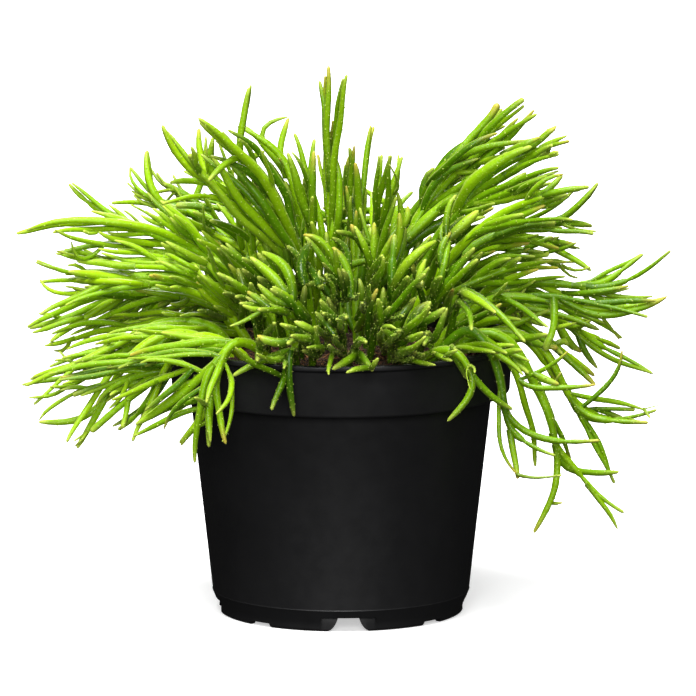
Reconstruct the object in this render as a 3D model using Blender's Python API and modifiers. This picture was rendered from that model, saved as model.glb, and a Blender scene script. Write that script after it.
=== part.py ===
"""A mistletoe cactus in a round nursery pot: the pot, its soil and one solid for each leafless spray."""

import bmesh
import bpy
import numpy as np

MM = 0.001

# Pot, in millimetres, as it turns about the Z axis
POT_HEIGHT = 94.0
LIP_RADIUS = 60.0
LIP_THICKNESS = 1.7
BAND_RADIUS = 58.2
BAND_FOOT_RADIUS = 57.2
BAND_BOTTOM = 76.0
BODY_RADIUS = 51.3
BODY_FOOT_RADIUS = 43.5
WALL = 1.3
FOOT_RADIUS = 41.6
FOOT_INNER_RADIUS = 38.9
FOOT_HEIGHT = 3.2
FLOOR_TOP = 6.6
FLOOR_BOTTOM = 5.0
NOTCHES = 8
NOTCH_WIDTHS = (12.5, 8.4)
NOTCH_HEIGHTS = (4.9, 1.4)
FIRST_NOTCH = -86.4
DRAIN_RADIUS = 3.5
DRAIN_RING = 27.0
DRAIN_SIDES = 8
NOTCH_DEPTH = 12.0
EDGE_SLOPE = 0.6
FOOT_SLOPE = 3.6
CUT_PAST = 4.0
POT_STEPS = 42

# Soil
SOIL_TOP = 90.0
SOIL_GAP = 0.45
SOIL_ROUNDING = (7.0, 0.5)
SOIL_EDGE_DROP = 1.5
SOIL_STEPS = 24
HOLE_DEPTH = 9.0
HOLE_RADIUS = 2.9
HOLE_SIDES = 6

# Stems. A stem leans over by a share of its way, and its shoots spring from it at the given shares.
COLLAR = 1.5
FOOT_GAP = 0.4
STEM_RADIUS = 1.85
STEM_TAPER = 0.88
STEM_SIDES = 6
STEM_POINTS = 5
SHOOT_SIDES = 4
SHOOT_POINTS = 3
LONG_SHOOT = 34.0
TIP_TAPER = 0.62
SPRING = 0.4
SUNK = 0.6
SIDE = dict(lean=0.3, radius=1.3, shares=(1, 0.93, 0.62, 0.45), fill=1)
FRONT = dict(lean=0.5, radius=1.75, shares=(1, 0.6, 0.42, 0.3), fill=0)

# Shoots that fill a spray spring from this span of its stem and end about its node
FILL_SPAN = (0.3, 0.6)
FILL_REACH = (-8.0, 14.0)
FILL_SPREAD = np.array([10.0, 14.0, 12.0])

# Behind the pot sprays alternate between low outer ones and high inner ones, given in that order
BACK_SPRAYS = 11
BACK_HALF = (20, 160)
BACK_ROOT = (38.0, 22.0)
BACK_REACH = (66.0, 58.0)
BACK_HEIGHT = (104.0, 124.0)
BACK_RISE = (26, 34)
BACK_TIP_REACH = (93.0, 84.0)
BACK_TIP_LIFT = (-18.0, 4.0)
BACK_SWINGS = (-0.3, 0, 0.32)
BACK_SIDE_SHORTER = 5.0

# How far a stem may be moved to keep clear of the pot and of the other sprays
CLEARANCE = 0.4
SOIL_CLEARANCE = 0.5
SAMPLE_STEP = 1.2
TRIES = 160
LAST_NUDGE = 1.8
NUDGE = (3.0, 10.0, 3.0)
ROOT_SHARE = (0.7, 0.3, 0)
SHOULDER_SHARE = (1, 0.5, 1)
TIP_SHARE = 0.7
BEND_SHARE = 0.5

# Each spray: where it is rooted (x, y), how far its stem rises before it leans over, the node where it
# forks (x, y, z), and the tips of its shoots, of which the later ones spring from lower on the stem.
LEFT_SPRAYS = {
    "left_crest": dict(root=(-22, 6), rise=37, node=(-77, 8, 132),
                       tips=[(-110, 5, 129), (-92, 10, 145), (-97, -10, 131), (-96, 0, 122)]),
    "left_high": dict(root=(-17, 16), rise=42, node=(-57, 28, 133),
                      tips=[(-66, 32, 153), (-72, 36, 146), (-78, 40, 133)]),
    "left_blade": dict(root=(-15, -6), rise=50, node=(-46, -18, 151),
                       tips=[(-60, -22, 170), (-57, -10, 148), (-60, -32, 145)]),
    "left_pair": dict(root=(-20, 24), rise=45, node=(-44, 34, 143),
                      tips=[(-48, 40, 159), (-44, 32, 157)]),
    "left_diagonal": dict(root=(-8, -6), rise=55, node=(-34, -24, 161),
                          tips=[(-48, -30, 173), (-44, -36, 154)]),
    "left_spire": dict(root=(-27, -3), rise=36, node=(-34, -2, 156),
                       tips=[(-31, -2, 180), (-26, 4, 157)]),
    "left_behind": dict(root=(-8, 20), rise=44, node=(-20, 30, 147),
                        tips=[(-35, 34, 161), (-18, 36, 163)]),
    "left_level": dict(root=(-31, -2), rise=30, node=(-75, -2, 115),
                       tips=[(-103, -8, 121), (-102, 6, 112), (-101, -14, 104)]),
    "left_low": dict(root=(-34, 12), rise=24, node=(-77, 24, 103),
                     tips=[(-106, 26, 92), (-99, 18, 89), (-96, 34, 98)]),
    "left_sweep": dict(root=(-38, -10), rise=17, node=(-72, -12, 95),
                       tips=[(-105, -6, 81), (-107, -13, 79), (-104, -22, 75)]),
    "left_drop": dict(root=(-37, -20), rise=20, node=(-80, -26, 77), lean=0.65,
                      tips=[(-102, -30, 70), (-89, -35, 62)]),
    "left_corner": dict(root=(-32, -30), rise=19, node=(-62, -38, 84), lean=0.65,
                        tips=[(-75, -34, 68), (-70, -43, 66), (-67, -30, 71)]),
    "left_rim": dict(root=(-24, -40), rise=21, node=(-44, -52, 82), lean=0.7,
                     tips=[(-54, -48, 66), (-45, -56, 66), (-38, -60, 68)]),
}

CENTRE_SPRAYS = {
    "top_trio": dict(root=(-3, 5), rise=34, node=(-4, 2, 148),
                     tips=[(-4, 0, 186), (-7, 7, 181), (2, -4, 184)]),
    "centre_left": dict(root=(-11, 4), rise=22, node=(-11, -10, 137),
                        tips=[(-18, -16, 159), (-9, -8, 163)]),
    "centre_right": dict(root=(5, 8), rise=26, node=(6, 16, 136),
                         tips=[(3, 12, 157), (11, 24, 162)]),
    "centre_fan": dict(root=(12, 2), rise=24, node=(12, -6, 137),
                       tips=[(14, -8, 158), (17, -16, 159), (21, -2, 156)]),
}

RIGHT_SPRAYS = {
    "right_crown": dict(root=(14, 16), rise=38, node=(38, 26, 147),
                        tips=[(53, 30, 168), (62, 24, 170), (66, 16, 168)]),
    "right_brush": dict(root=(18, 4), rise=47, node=(62, -2, 158),
                        tips=[(73, -4, 166), (77, 4, 161), (74, -12, 159), (73, -20, 155)]),
    "right_blunt": dict(root=(20, -8), rise=43, node=(69, -26, 147),
                        tips=[(83, -28, 150), (74, -20, 153)]),
    "right_fork": dict(root=(24, 12), rise=38, node=(72, 22, 130),
                       tips=[(87, 20, 143), (85, 28, 127), (86, 16, 126)]),
    "right_shelf": dict(root=(24, 22), rise=35, node=(66, 40, 121),
                        tips=[(80, 44, 119), (85, 38, 110), (80, 54, 115)]),
    "right_wave": dict(root=(30, -3), rise=27, node=(84, 0, 111),
                       tips=[(111.5, -4, 124), (102, 8, 121)]),
    "right_bow": dict(root=(33, -12), rise=25, node=(74, -15, 108),
                      tips=[(109, -15, 110), (95, -11, 95), (104, -22, 104)]),
    "right_low": dict(root=(37, 10), rise=21, node=(78, 20, 94),
                      tips=[(106, 18, 78), (95, 28, 85), (104, 26, 102)]),
    "right_edge": dict(root=(40, -4), rise=16, node=(68, -4, 95),
                       tips=[(86, 2, 80), (86, -10, 79), (75, -20, 91)]),
    "right_drop": dict(root=(41, -14), rise=21, node=(79, -17, 73), lean=0.6, shares=(1, 0.95, 0.9, 0.85),
                       tips=[(107, -12, 71), (104, -21, 68), (100, -9, 66), (92, -18, 47)]),
    "right_trail": dict(root=(36, -25), rise=27, node=(74, -29, 57), lean=0.6, shares=(1, 0.96, 0.92),
                        tips=[(94, -25, 52), (65, -33, 33), (95, -31, 39)]),
    "right_hanger": dict(root=(31, -34), rise=31, node=(57, -40, 68), lean=0.7, shares=(0.9, 1, 0.95),
                         tips=[(87, -44, 66), (59, -46, 54), (72, -47, 62)]),
    "right_front": dict(root=(24, -42), rise=13, node=(44, -52, 90), lean=0.7,
                        tips=[(36, -57, 75), (58, -50, 78)]),
}

# The stout young shoots at the front, which point at the viewer
FRONT_SPRAYS = {
    "front_01": dict(root=(-20, -12), rise=20, node=(-22, -32, 117),
                     tips=[(-28, -40, 130), (-33, -47, 129), (-40, -36, 131)]),
    "front_02": dict(root=(-27, -22), rise=16, node=(-28, -42, 113),
                     tips=[(-41, -50, 124), (-30, -58, 122), (-35, -63, 119)]),
    "front_03": dict(root=(-14, -24), rise=13, node=(-11, -46, 107),
                     tips=[(-23, -66, 122), (-34, -70, 117), (-27, -76, 117)]),
    "front_04": dict(root=(-4, -10), rise=20, node=(0, -30, 116),
                     tips=[(-12, -35, 134), (-2, -41, 131), (-5, -56, 125)]),
    "front_05": dict(root=(1, -24), rise=13, node=(-1, -48, 106),
                     tips=[(-7, -66, 118), (-6, -75, 115), (2, -80, 114)]),
    "front_06": dict(root=(-9, -38), rise=11, node=(-9, -56, 100),
                     tips=[(-9, -74, 110), (-18, -80, 112), (-18, -86, 107)]),
    "front_07": dict(root=(9, -7), rise=24, node=(10, -24, 122),
                     tips=[(4, -28, 137), (11, -20, 136), (14, -46, 129)]),
    "front_08": dict(root=(15, -17), rise=17, node=(17, -36, 114),
                     tips=[(18, -31, 134), (30, -37, 135), (23, -56, 124)]),
    "front_09": dict(root=(9, -30), rise=13, node=(13, -50, 107),
                     tips=[(13, -66, 118), (17, -60, 115), (28, -56, 127)]),
    "front_10": dict(root=(17, -36), rise=11, node=(19, -55, 101),
                     tips=[(30, -66, 117), (14, -74, 110), (20, -79, 110), (30, -75, 115)]),
    "front_11": dict(root=(27, -33), rise=11, node=(31, -53, 101),
                     tips=[(36, -62, 115), (28, -77, 109), (28, -86, 106)]),
    "front_12": dict(root=(26, -16), rise=17, node=(31, -35, 114),
                     tips=[(37, -25, 134), (45, -40, 131), (46, -46, 128)]),
    "front_13": dict(root=(34, -24), rise=17, node=(41, -37, 115),
                     tips=[(62, -62, 103), (44, -70, 109)]),
    "front_14": dict(root=(-25, -32), rise=11, node=(-27, -54, 101),
                     tips=[(-28, -78, 107), (-28, -76, 99), (-22, -72, 111)]),
    "front_15": dict(root=(-15, -43), rise=10, node=(-17, -62, 99), lean=0.6,
                     tips=[(-16, -64, 78), (-36, -66, 92), (-24, -66, 81)]),
    "front_16": dict(root=(3, -42), rise=9, node=(5, -60, 99),
                     tips=[(-3, -72, 95), (11, -70, 95), (8, -91.5, 108)]),
}

GREEN = (0.13, 0.36, 0.012, 1)
BLACK = (0.012, 0.012, 0.012, 1)
BROWN = (0.055, 0.022, 0.012, 1)


def material(name, colour, roughness):
    made = bpy.data.materials.new(name)
    made.use_nodes = True
    shader = made.node_tree.nodes["Principled BSDF"]
    shader.inputs["Base Color"].default_value = colour
    shader.inputs["Roughness"].default_value = roughness
    return made


def add_object(name, mesh, collection):
    made = bpy.data.objects.new(name, mesh)
    collection.objects.link(made)
    return made


def turned(name, profile, steps, collection):
    """A solid turned from (radius, height) points that run down its outer side."""
    mesh = bpy.data.meshes.new(name)
    points = [(radius * MM, 0, height * MM) for radius, height in profile]
    mesh.from_pydata(points, [(i, i + 1) for i in range(len(points) - 1)], [])
    made = add_object(name, mesh, collection)
    screw = made.modifiers.new("Turn", "SCREW")
    screw.steps = screw.render_steps = steps
    screw.use_merge_vertices = True
    screw.merge_threshold = 0.00001
    return made


def apply_modifiers(obj):
    graph = bpy.context.evaluated_depsgraph_get()
    mesh = bpy.data.meshes.new_from_object(obj.evaluated_get(graph))
    obj.modifiers.clear()
    obj.data = mesh


def cut(obj, cutter, name):
    cutter.hide_render = True
    cutter.display_type = "WIRE"
    boolean = obj.modifiers.new(name, "BOOLEAN")
    boolean.operation = "DIFFERENCE"
    boolean.object = cutter


def prism(mesh, centre, radius, bottom, top, sides):
    """Adds an upright prism to a bmesh, for a hole."""
    made = bmesh.ops.create_cone(mesh, cap_ends=True, segments=sides, radius1=radius * MM,
                                 radius2=radius * MM, depth=(top - bottom) * MM)
    lift = (centre[0] * MM, centre[1] * MM, (bottom + top) / 2 * MM)
    bmesh.ops.translate(mesh, verts=made["verts"], vec=lift)


def pot(parts, cutters):
    step_top = BAND_BOTTOM + WALL
    made = turned("pot", [
        (0, FLOOR_TOP),
        (BODY_FOOT_RADIUS - WALL, FLOOR_TOP),
        (BODY_RADIUS - WALL, BAND_BOTTOM),
        (BAND_FOOT_RADIUS - WALL, step_top),
        (BAND_RADIUS - WALL, POT_HEIGHT),
        (LIP_RADIUS, POT_HEIGHT),
        (LIP_RADIUS, POT_HEIGHT - LIP_THICKNESS),
        (BAND_RADIUS, POT_HEIGHT - LIP_THICKNESS - EDGE_SLOPE),
        (BAND_FOOT_RADIUS, BAND_BOTTOM),
        (BODY_RADIUS, BAND_BOTTOM - EDGE_SLOPE),
        (BODY_FOOT_RADIUS, FOOT_HEIGHT + FOOT_SLOPE),
        (FOOT_RADIUS, FOOT_HEIGHT),
        (FOOT_RADIUS, 0),
        (FOOT_INNER_RADIUS, 0),
        (FOOT_INNER_RADIUS, FLOOR_BOTTOM),
        (0, FLOOR_BOTTOM),
    ], POT_STEPS, parts)
    made.data.materials.append(material("black moulded plastic", BLACK, 0.38))

    openings = bmesh.new()
    for index in range(NOTCHES):
        angle = np.radians(FIRST_NOTCH + index * 360 / NOTCHES)
        outward = np.array([np.cos(angle), np.sin(angle)])
        # tall notches take turns with low ones
        width, height = NOTCH_WIDTHS[index % 2], NOTCH_HEIGHTS[index % 2]
        notch = bmesh.ops.create_cube(openings, size=MM)["verts"]
        bmesh.ops.scale(openings, verts=notch, vec=(NOTCH_DEPTH, width, 2 * height))
        turn = np.array([[outward[0], -outward[1], 0], [outward[1], outward[0], 0], [0, 0, 1]])
        for vertex in notch:
            vertex.co = turn @ np.array(vertex.co)
        middle = outward * (FOOT_RADIUS + FOOT_INNER_RADIUS) / 2 * MM
        bmesh.ops.translate(openings, verts=notch, vec=(middle[0], middle[1], 0))
        prism(openings, outward * DRAIN_RING, DRAIN_RADIUS, 0, FLOOR_TOP + CUT_PAST, DRAIN_SIDES)
    mesh = bpy.data.meshes.new("pot_openings")
    openings.to_mesh(mesh)
    openings.free()
    cut(made, add_object("pot_openings", mesh, cutters), "notches and drains")


def soil(roots, parts, cutters):
    shrink = WALL + SOIL_GAP
    rounding, rim_gap = SOIL_ROUNDING
    made = turned("soil", [
        (0, SOIL_TOP),
        (BAND_RADIUS - shrink - rounding, SOIL_TOP),
        (BAND_RADIUS - shrink - rim_gap, SOIL_TOP - SOIL_EDGE_DROP),
        (BAND_FOOT_RADIUS - shrink, BAND_BOTTOM + WALL + SOIL_GAP),
        (BODY_RADIUS - shrink, BAND_BOTTOM + SOIL_GAP),
        (BODY_FOOT_RADIUS - shrink, FLOOR_TOP + SOIL_GAP),
        (0, FLOOR_TOP + SOIL_GAP),
    ], SOIL_STEPS, parts)
    made.data.materials.append(material("peat soil", BROWN, 0.95))
    holes = bmesh.new()
    for root in roots:
        prism(holes, root, HOLE_RADIUS, SOIL_TOP - HOLE_DEPTH, SOIL_TOP + CUT_PAST, HOLE_SIDES)
    mesh = bpy.data.meshes.new("soil_holes")
    holes.to_mesh(mesh)
    holes.free()
    cut(made, add_object("soil_holes", mesh, cutters), "holes for stems")
    made.modifiers["holes for stems"].solver = "MANIFOLD"


def arc(start, shoulder, end, count):
    share = np.linspace(0, 1, count)[:, None]
    return (1 - share) ** 2 * start + 2 * share * (1 - share) * shoulder + share**2 * end


class Stem:
    """A centreline, the three points that it bends by, the radii along it and the spray that it is in."""

    def __init__(self, spray, bend, radii, points, foot=None):
        self.spray = spray
        self.bend = bend
        self.rooted = int(foot is not None)
        self.line = arc(*bend, points)
        self.radii = np.linspace(*radii, points)
        if foot is not None:
            self.line = np.vstack([foot, self.line])
            self.radii = np.append(radii[0], self.radii)

    def point(self, share):
        steps = np.linspace(0, 1, len(self.line) - self.rooted)
        return np.array([np.interp(share, steps, axis) for axis in self.line[self.rooted:].T])

    def heading(self, share):
        start, shoulder, end = self.bend
        slope = (1 - share) * (shoulder - start) + share * (end - shoulder)
        return slope / np.linalg.norm(slope)

    def samples(self, first=0):
        """Points every millimetre or so along the centreline, from its point of that number."""
        return np.concatenate([np.linspace(a, b, max(2, int(np.linalg.norm(b - a) / SAMPLE_STEP)))
                               for a, b in zip(self.line[first:-1], self.line[first + 1:])])


def clear_of_pot(stem):
    """Whether the stem passes over the lip, stays in the mouth and hangs outside the wall."""
    spots = stem.samples(stem.rooted)
    thick = stem.radii.max() + CLEARANCE
    out = np.hypot(spots[:, 0], spots[:, 1])
    height = spots[:, 2]
    over_lip = (out > BAND_RADIUS - WALL - thick) & (out < LIP_RADIUS + thick)
    in_mouth = out <= BAND_RADIUS - WALL - thick
    low = (over_lip & (height < POT_HEIGHT + thick)) | (in_mouth & (height < SOIL_TOP + SOIL_CLEARANCE))
    return not low.any()


def clear_of_stems(stem, placed):
    """Whether the stem keeps its distance from those of every other spray."""
    others = [other for other in placed if other.spray != stem.spray]
    if not others:
        return True
    starts = np.concatenate([other.line[:-1] for other in others])
    ends = np.concatenate([other.line[1:] for other in others])
    radii = np.concatenate([np.maximum(other.radii[:-1], other.radii[1:]) for other in others])
    spots = stem.samples()
    along = ends - starts
    share = ((spots[:, None] - starts) * along).sum(-1) / (along**2).sum(-1)
    nearest = starts + np.clip(share, 0, 1)[..., None] * along
    distance = np.linalg.norm(spots[:, None] - nearest, axis=-1)
    return (distance > radii + stem.radii.max() + CLEARANCE).all()


def first_clear(make, placed, draw):
    """The first of the nudged stems that touches neither the pot nor another spray."""
    for attempt in range(TRIES):
        reach = LAST_NUDGE * attempt / TRIES
        stem = make(*draw.uniform(-reach, reach, (2, 3)) * NUDGE)
        if clear_of_pot(stem) and clear_of_stems(stem, placed):
            return stem
    return None


def main_stem(name, plan, placed, draw):
    def make(nudge, sway):
        root = np.array([*plan["root"], 0]) + sway * ROOT_SHARE
        foot = root + (0, 0, SOIL_TOP - HOLE_DEPTH + FOOT_GAP)
        collar = root + (0, 0, SOIL_TOP + COLLAR)
        node = np.array(plan["node"]) + nudge
        forward = (node - collar) * (plan["lean"], plan["lean"], 0)
        shoulder = collar + forward + (0, 0, plan["rise"]) + sway * SHOULDER_SHARE
        radii = (STEM_RADIUS, STEM_RADIUS * STEM_TAPER)
        return Stem(name, (collar, shoulder, node), radii, STEM_POINTS, foot)
    return first_clear(make, placed, draw)


def shoot(stem, share, tip, radius, placed, draw):
    heading = stem.heading(share)
    start = stem.point(share) - heading * STEM_RADIUS * SUNK

    def make(nudge, sway):
        end = tip + nudge * TIP_SHARE
        reach = np.linalg.norm(end - start)
        bend = start + heading * reach * SPRING + sway * BEND_SHARE
        points = SHOOT_POINTS + (reach > LONG_SHOOT)
        return Stem(stem.spray, (start, bend, end), (radius, radius * TIP_TAPER), points)
    return first_clear(make, placed, draw)


def back_plans():
    """Sprays that arch away behind the pot, evenly round its back half."""
    draw = np.random.default_rng(7)
    plans = {}
    for index in range(BACK_SPRAYS):
        angle = np.radians(np.interp((index + 0.5) / BACK_SPRAYS, (0, 1), BACK_HALF))
        outward = np.array([np.cos(angle), np.sin(angle)])
        near = index % 2
        root = outward * BACK_ROOT[near] + draw.uniform(-2, 2, 2)
        node = (*(outward * BACK_REACH[near]), BACK_HEIGHT[near] + draw.uniform(-5, 5))
        tips = []
        for fork, swing in enumerate(BACK_SWINGS):
            turned_to = angle + swing + draw.uniform(-0.08, 0.08)
            far = BACK_TIP_REACH[near] - BACK_SIDE_SHORTER * abs(fork - 1) + draw.uniform(-2, 2)
            height = node[2] + BACK_TIP_LIFT[near] + draw.uniform(-10, 10)
            tips.append((far * np.cos(turned_to), far * np.sin(turned_to), height))
        plans[f"back_{index + 1:02d}"] = dict(SIDE, root=root, rise=BACK_RISE[near], node=node, tips=tips)
    return plans


def all_plans():
    around = {**CENTRE_SPRAYS, **LEFT_SPRAYS, **RIGHT_SPRAYS}
    plans = {name: {**SIDE, **plan} for name, plan in around.items()}
    plans.update({name: {**FRONT, **plan} for name, plan in FRONT_SPRAYS.items()})
    plans.update(back_plans())
    return plans


def grow(plans):
    """Every stem by name, and every stem and shoot in a list, each bent clear of those before it."""
    draw = np.random.default_rng(11)
    stems = {}
    for name, plan in plans.items():
        stems[name] = main_stem(name, plan, list(stems.values()), draw)
        if stems[name] is None:
            raise ValueError(f"no room left for the stem of {name}")
    placed = list(stems.values())
    for name, plan in plans.items():
        for share, tip in zip(plan["shares"], plan["tips"]):
            placed.append(shoot(stems[name], share, np.array(tip), plan["radius"], placed, draw))
            if placed[-1] is None:
                raise ValueError(f"no room left for the shoot of {name} to {tip}")
    for name, plan in plans.items():
        stem = stems[name]
        for share in draw.uniform(*FILL_SPAN, plan["fill"]):
            spread = draw.uniform(-FILL_SPREAD, (*FILL_SPREAD[:2], 3))
            tip = stem.bend[2] + stem.heading(1) * draw.uniform(*FILL_REACH) + spread
            grown = shoot(stem, share, tip, plan["radius"], placed, draw)
            if grown:
                placed.append(grown)
    return stems, placed


def tube(stem, sides, collection):
    """A curve object along the stem, thinner to its tip, made a closed mesh."""
    curve = bpy.data.curves.new("stem", "CURVE")
    curve.dimensions = "3D"
    curve.bevel_depth = MM
    curve.bevel_resolution = sides // 2 - 2
    curve.use_fill_caps = True
    spline = curve.splines.new("POLY")
    spline.points.add(len(stem.line) - 1)
    for point, place, radius in zip(spline.points, stem.line, stem.radii):
        point.co = (*(place * MM), 1)
        point.radius = radius
    return add_object("stem", curve, collection)


def fused(name, stems, look, parts):
    """One solid of a spray: its stem with every shoot joined on by one union."""
    shoots = bpy.data.collections.new("shoots")
    bpy.context.scene.collection.children.link(shoots)
    tubes = [tube(stem, STEM_SIDES if stem.rooted else SHOOT_SIDES, shoots) for stem in stems]
    bpy.context.view_layer.update()
    graph = bpy.context.evaluated_depsgraph_get()
    solids = []
    for curve in tubes:
        mesh = bpy.data.meshes.new_from_object(curve.evaluated_get(graph))
        shell = bmesh.new()
        shell.from_mesh(mesh)
        bmesh.ops.remove_doubles(shell, verts=shell.verts, dist=0.00001)
        bmesh.ops.recalc_face_normals(shell, faces=shell.faces)
        shell.to_mesh(mesh)
        shell.free()
        solids.append(mesh)
        bpy.data.objects.remove(curve)
    made = add_object(name, solids[0], parts)
    for mesh in solids[1:]:
        add_object("shoot", mesh, shoots)
    union = made.modifiers.new("join shoots", "BOOLEAN")
    union.operation = "UNION"
    union.operand_type = "COLLECTION"
    union.collection = shoots
    union.solver = "EXACT"
    bpy.context.view_layer.update()
    apply_modifiers(made)
    for helper in list(shoots.objects):
        bpy.data.objects.remove(helper)
    bpy.data.collections.remove(shoots)
    made.data.materials.clear()
    made.data.materials.append(look)
    made.data.shade_smooth()
    made.data.set_sharp_from_angle(angle=np.radians(50))
    return made


def main():
    for obj in list(bpy.data.objects):
        bpy.data.objects.remove(obj)
    parts = bpy.data.collections.new("potted mistletoe cactus")
    cutters = bpy.data.collections.new("cutters")
    for collection in (parts, cutters):
        bpy.context.scene.collection.children.link(collection)

    stems, placed = grow(all_plans())
    pot(parts, cutters)
    soil([stem.line[0][:2] for stem in stems.values()], parts, cutters)
    look = material("fresh green stem", GREEN, 0.45)
    for name in stems:
        fused("spray_" + name, [stem for stem in placed if stem.spray == name], look, parts)


main()
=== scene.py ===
import math
import time

import bmesh
import bpy
import numpy as np
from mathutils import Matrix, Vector, noise


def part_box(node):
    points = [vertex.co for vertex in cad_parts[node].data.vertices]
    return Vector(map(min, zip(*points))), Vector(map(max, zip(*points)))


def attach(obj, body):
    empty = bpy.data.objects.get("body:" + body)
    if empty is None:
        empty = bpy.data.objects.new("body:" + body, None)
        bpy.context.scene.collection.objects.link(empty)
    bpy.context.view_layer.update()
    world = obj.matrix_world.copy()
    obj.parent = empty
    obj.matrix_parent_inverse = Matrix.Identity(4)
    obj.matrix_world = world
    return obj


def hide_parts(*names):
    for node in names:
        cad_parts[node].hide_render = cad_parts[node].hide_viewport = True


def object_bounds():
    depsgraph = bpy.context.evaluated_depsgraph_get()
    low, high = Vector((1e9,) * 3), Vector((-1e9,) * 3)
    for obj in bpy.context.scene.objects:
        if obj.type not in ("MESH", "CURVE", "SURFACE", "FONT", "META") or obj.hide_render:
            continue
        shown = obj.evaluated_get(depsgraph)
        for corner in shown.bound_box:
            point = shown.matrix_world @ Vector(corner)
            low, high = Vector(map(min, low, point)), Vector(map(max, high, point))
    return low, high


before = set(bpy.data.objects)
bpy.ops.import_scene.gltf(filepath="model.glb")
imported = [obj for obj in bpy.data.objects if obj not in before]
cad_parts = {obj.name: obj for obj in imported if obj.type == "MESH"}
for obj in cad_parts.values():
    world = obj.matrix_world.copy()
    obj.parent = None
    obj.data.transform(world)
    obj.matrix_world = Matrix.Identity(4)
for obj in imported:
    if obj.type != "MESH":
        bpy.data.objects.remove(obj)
cadBox = [list(corner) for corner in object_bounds()]
mm = 0.001
started = time.time()
print("frame loaded:", len(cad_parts), "nodes")


def seconds():
    return f"{time.time() - started:.1f} s"


# helpers for colours, node trees and pieces
def srgb(code):
    parts = [int(code[place:place + 2], 16) / 255 for place in (1, 3, 5)]
    return (*[part / 12.92 if part <= 0.04045 else ((part + 0.055) / 1.055) ** 2.4 for part in parts], 1)


def feed(tree, node, inputs):
    # a socket, or a node's first live output, is linked to the input, and any other value is set there
    for name, value in inputs.items():
        if isinstance(value, bpy.types.Node):
            value = next(output for output in value.outputs if output.enabled)
        if isinstance(value, bpy.types.NodeSocket):
            tree.links.new(value, node.inputs[name])
        else:
            node.inputs[name].default_value = value


def addNode(tree, kind, inputs=None, **settings):
    node = tree.nodes.new(kind)
    for name, value in settings.items():
        setattr(node, name, value)
    feed(tree, node, inputs or {})
    return node


def newLook(name):
    look = bpy.data.materials.new(name)
    look.use_nodes = True
    tree = look.node_tree
    return look, tree, tree.nodes["Principled BSDF"]


def newTree(name, sizes):
    # a geometry tree with an input for each named size
    tree = bpy.data.node_groups.new(name, "GeometryNodeTree")
    tree.interface.new_socket("Geometry", in_out="INPUT", socket_type="NodeSocketGeometry")
    for label, value in sizes.items():
        kind = "NodeSocketInt" if isinstance(value, int) else "NodeSocketFloat"
        tree.interface.new_socket(label, in_out="INPUT", socket_type=kind).default_value = value
    tree.interface.new_socket("Geometry", in_out="OUTPUT", socket_type="NodeSocketGeometry")
    return tree, addNode(tree, "NodeGroupInput").outputs


def closeTree(tree, parts):
    whole = addNode(tree, "GeometryNodeJoinGeometry")
    for part in parts:
        tree.links.new(part.outputs["Geometry"], whole.inputs[0])
    done = addNode(tree, "GeometryNodeRealizeInstances", {"Geometry": whole})
    addNode(tree, "NodeGroupOutput", {0: done})


def addPiece(name, mesh, node):
    piece = bpy.data.objects.new(name, mesh)
    bpy.context.scene.collection.objects.link(piece)
    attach(piece, "root")
    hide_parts(node)
    return piece


def triangles(mesh):
    return sum(len(face.vertices) - 2 for face in mesh.polygons)


# camera at the photograph's angle: its target and the width it shows there are in millimetres
view = dict(target=(2.4, 0, 90), elevation=10, lens=800, sensor=36, width=236, farEnd=60)
cameraTilt = math.radians(view["elevation"])
cameraAway = view["lens"] / view["sensor"] * view["width"]


def placeCamera():
    data = bpy.data.cameras.new("photo camera")
    data.sensor_width = view["sensor"]
    data.lens = view["lens"]
    data.clip_end = view["farEnd"]
    camera = bpy.data.objects.new("photo camera", data)
    bpy.context.scene.collection.objects.link(camera)
    back = Vector((0, -math.cos(cameraTilt), math.sin(cameraTilt)))
    camera.location = Vector(view["target"]) * mm + back * (cameraAway * mm)
    camera.rotation_euler = (math.pi / 2 - cameraTilt, 0, 0)
    bpy.context.scene.camera = camera


# places and sizes in metres; every lamp looks at the plant's middle
lamps = {
    "sun": dict(kind="SUN", place=(-0.15, -0.34, 1.2), size=math.radians(34), power=6.0),
    "front softbox": dict(kind="AREA", place=(0.0, -1.9, 0.7), size=0.7, power=25),
    "back softbox": dict(kind="AREA", place=(0.2, 1.9, 0.9), size=0.7, power=8),
}
studio = dict(middle=(0, 0, 0.09), skyGlow=0.17, mirroredSky=0.02, tableHalf=9, tableGlow=0.5)


def placeLights():
    for name, lamp in lamps.items():
        data = bpy.data.lights.new(name, lamp["kind"])
        if lamp["kind"] == "SUN":
            data.angle = lamp["size"]
        else:
            data.shape = "SQUARE"
            data.size = lamp["size"]
        data.energy = lamp["power"]
        light = bpy.data.objects.new(name, data)
        bpy.context.scene.collection.objects.link(light)
        light.location = lamp["place"]
        light.visible_camera = False
        toward = Vector(studio["middle"]) - light.location
        light.rotation_euler = toward.to_track_quat("-Z", "Y").to_euler()


def placeSky():
    # the camera sees pure white; the plant is lit by a dim sky, and the pot mirrors an almost black one
    world = bpy.data.worlds.new("studio")
    world.use_nodes = True
    tree = world.node_tree
    sky = tree.nodes["Background"]
    path = addNode(tree, "ShaderNodeLightPath").outputs
    dim = addNode(tree, "ShaderNodeMapRange", {0: path["Is Glossy Ray"], 3: studio["skyGlow"],
                                               4: studio["mirroredSky"]})
    glow = addNode(tree, "ShaderNodeMath", {0: path["Is Camera Ray"], 1: dim}, operation="ADD")
    feed(tree, sky, {"Color": srgb("#FFFFFF"), "Strength": glow})
    bpy.context.scene.world = world
    bpy.context.scene.view_settings.view_transform = "Standard"


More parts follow.
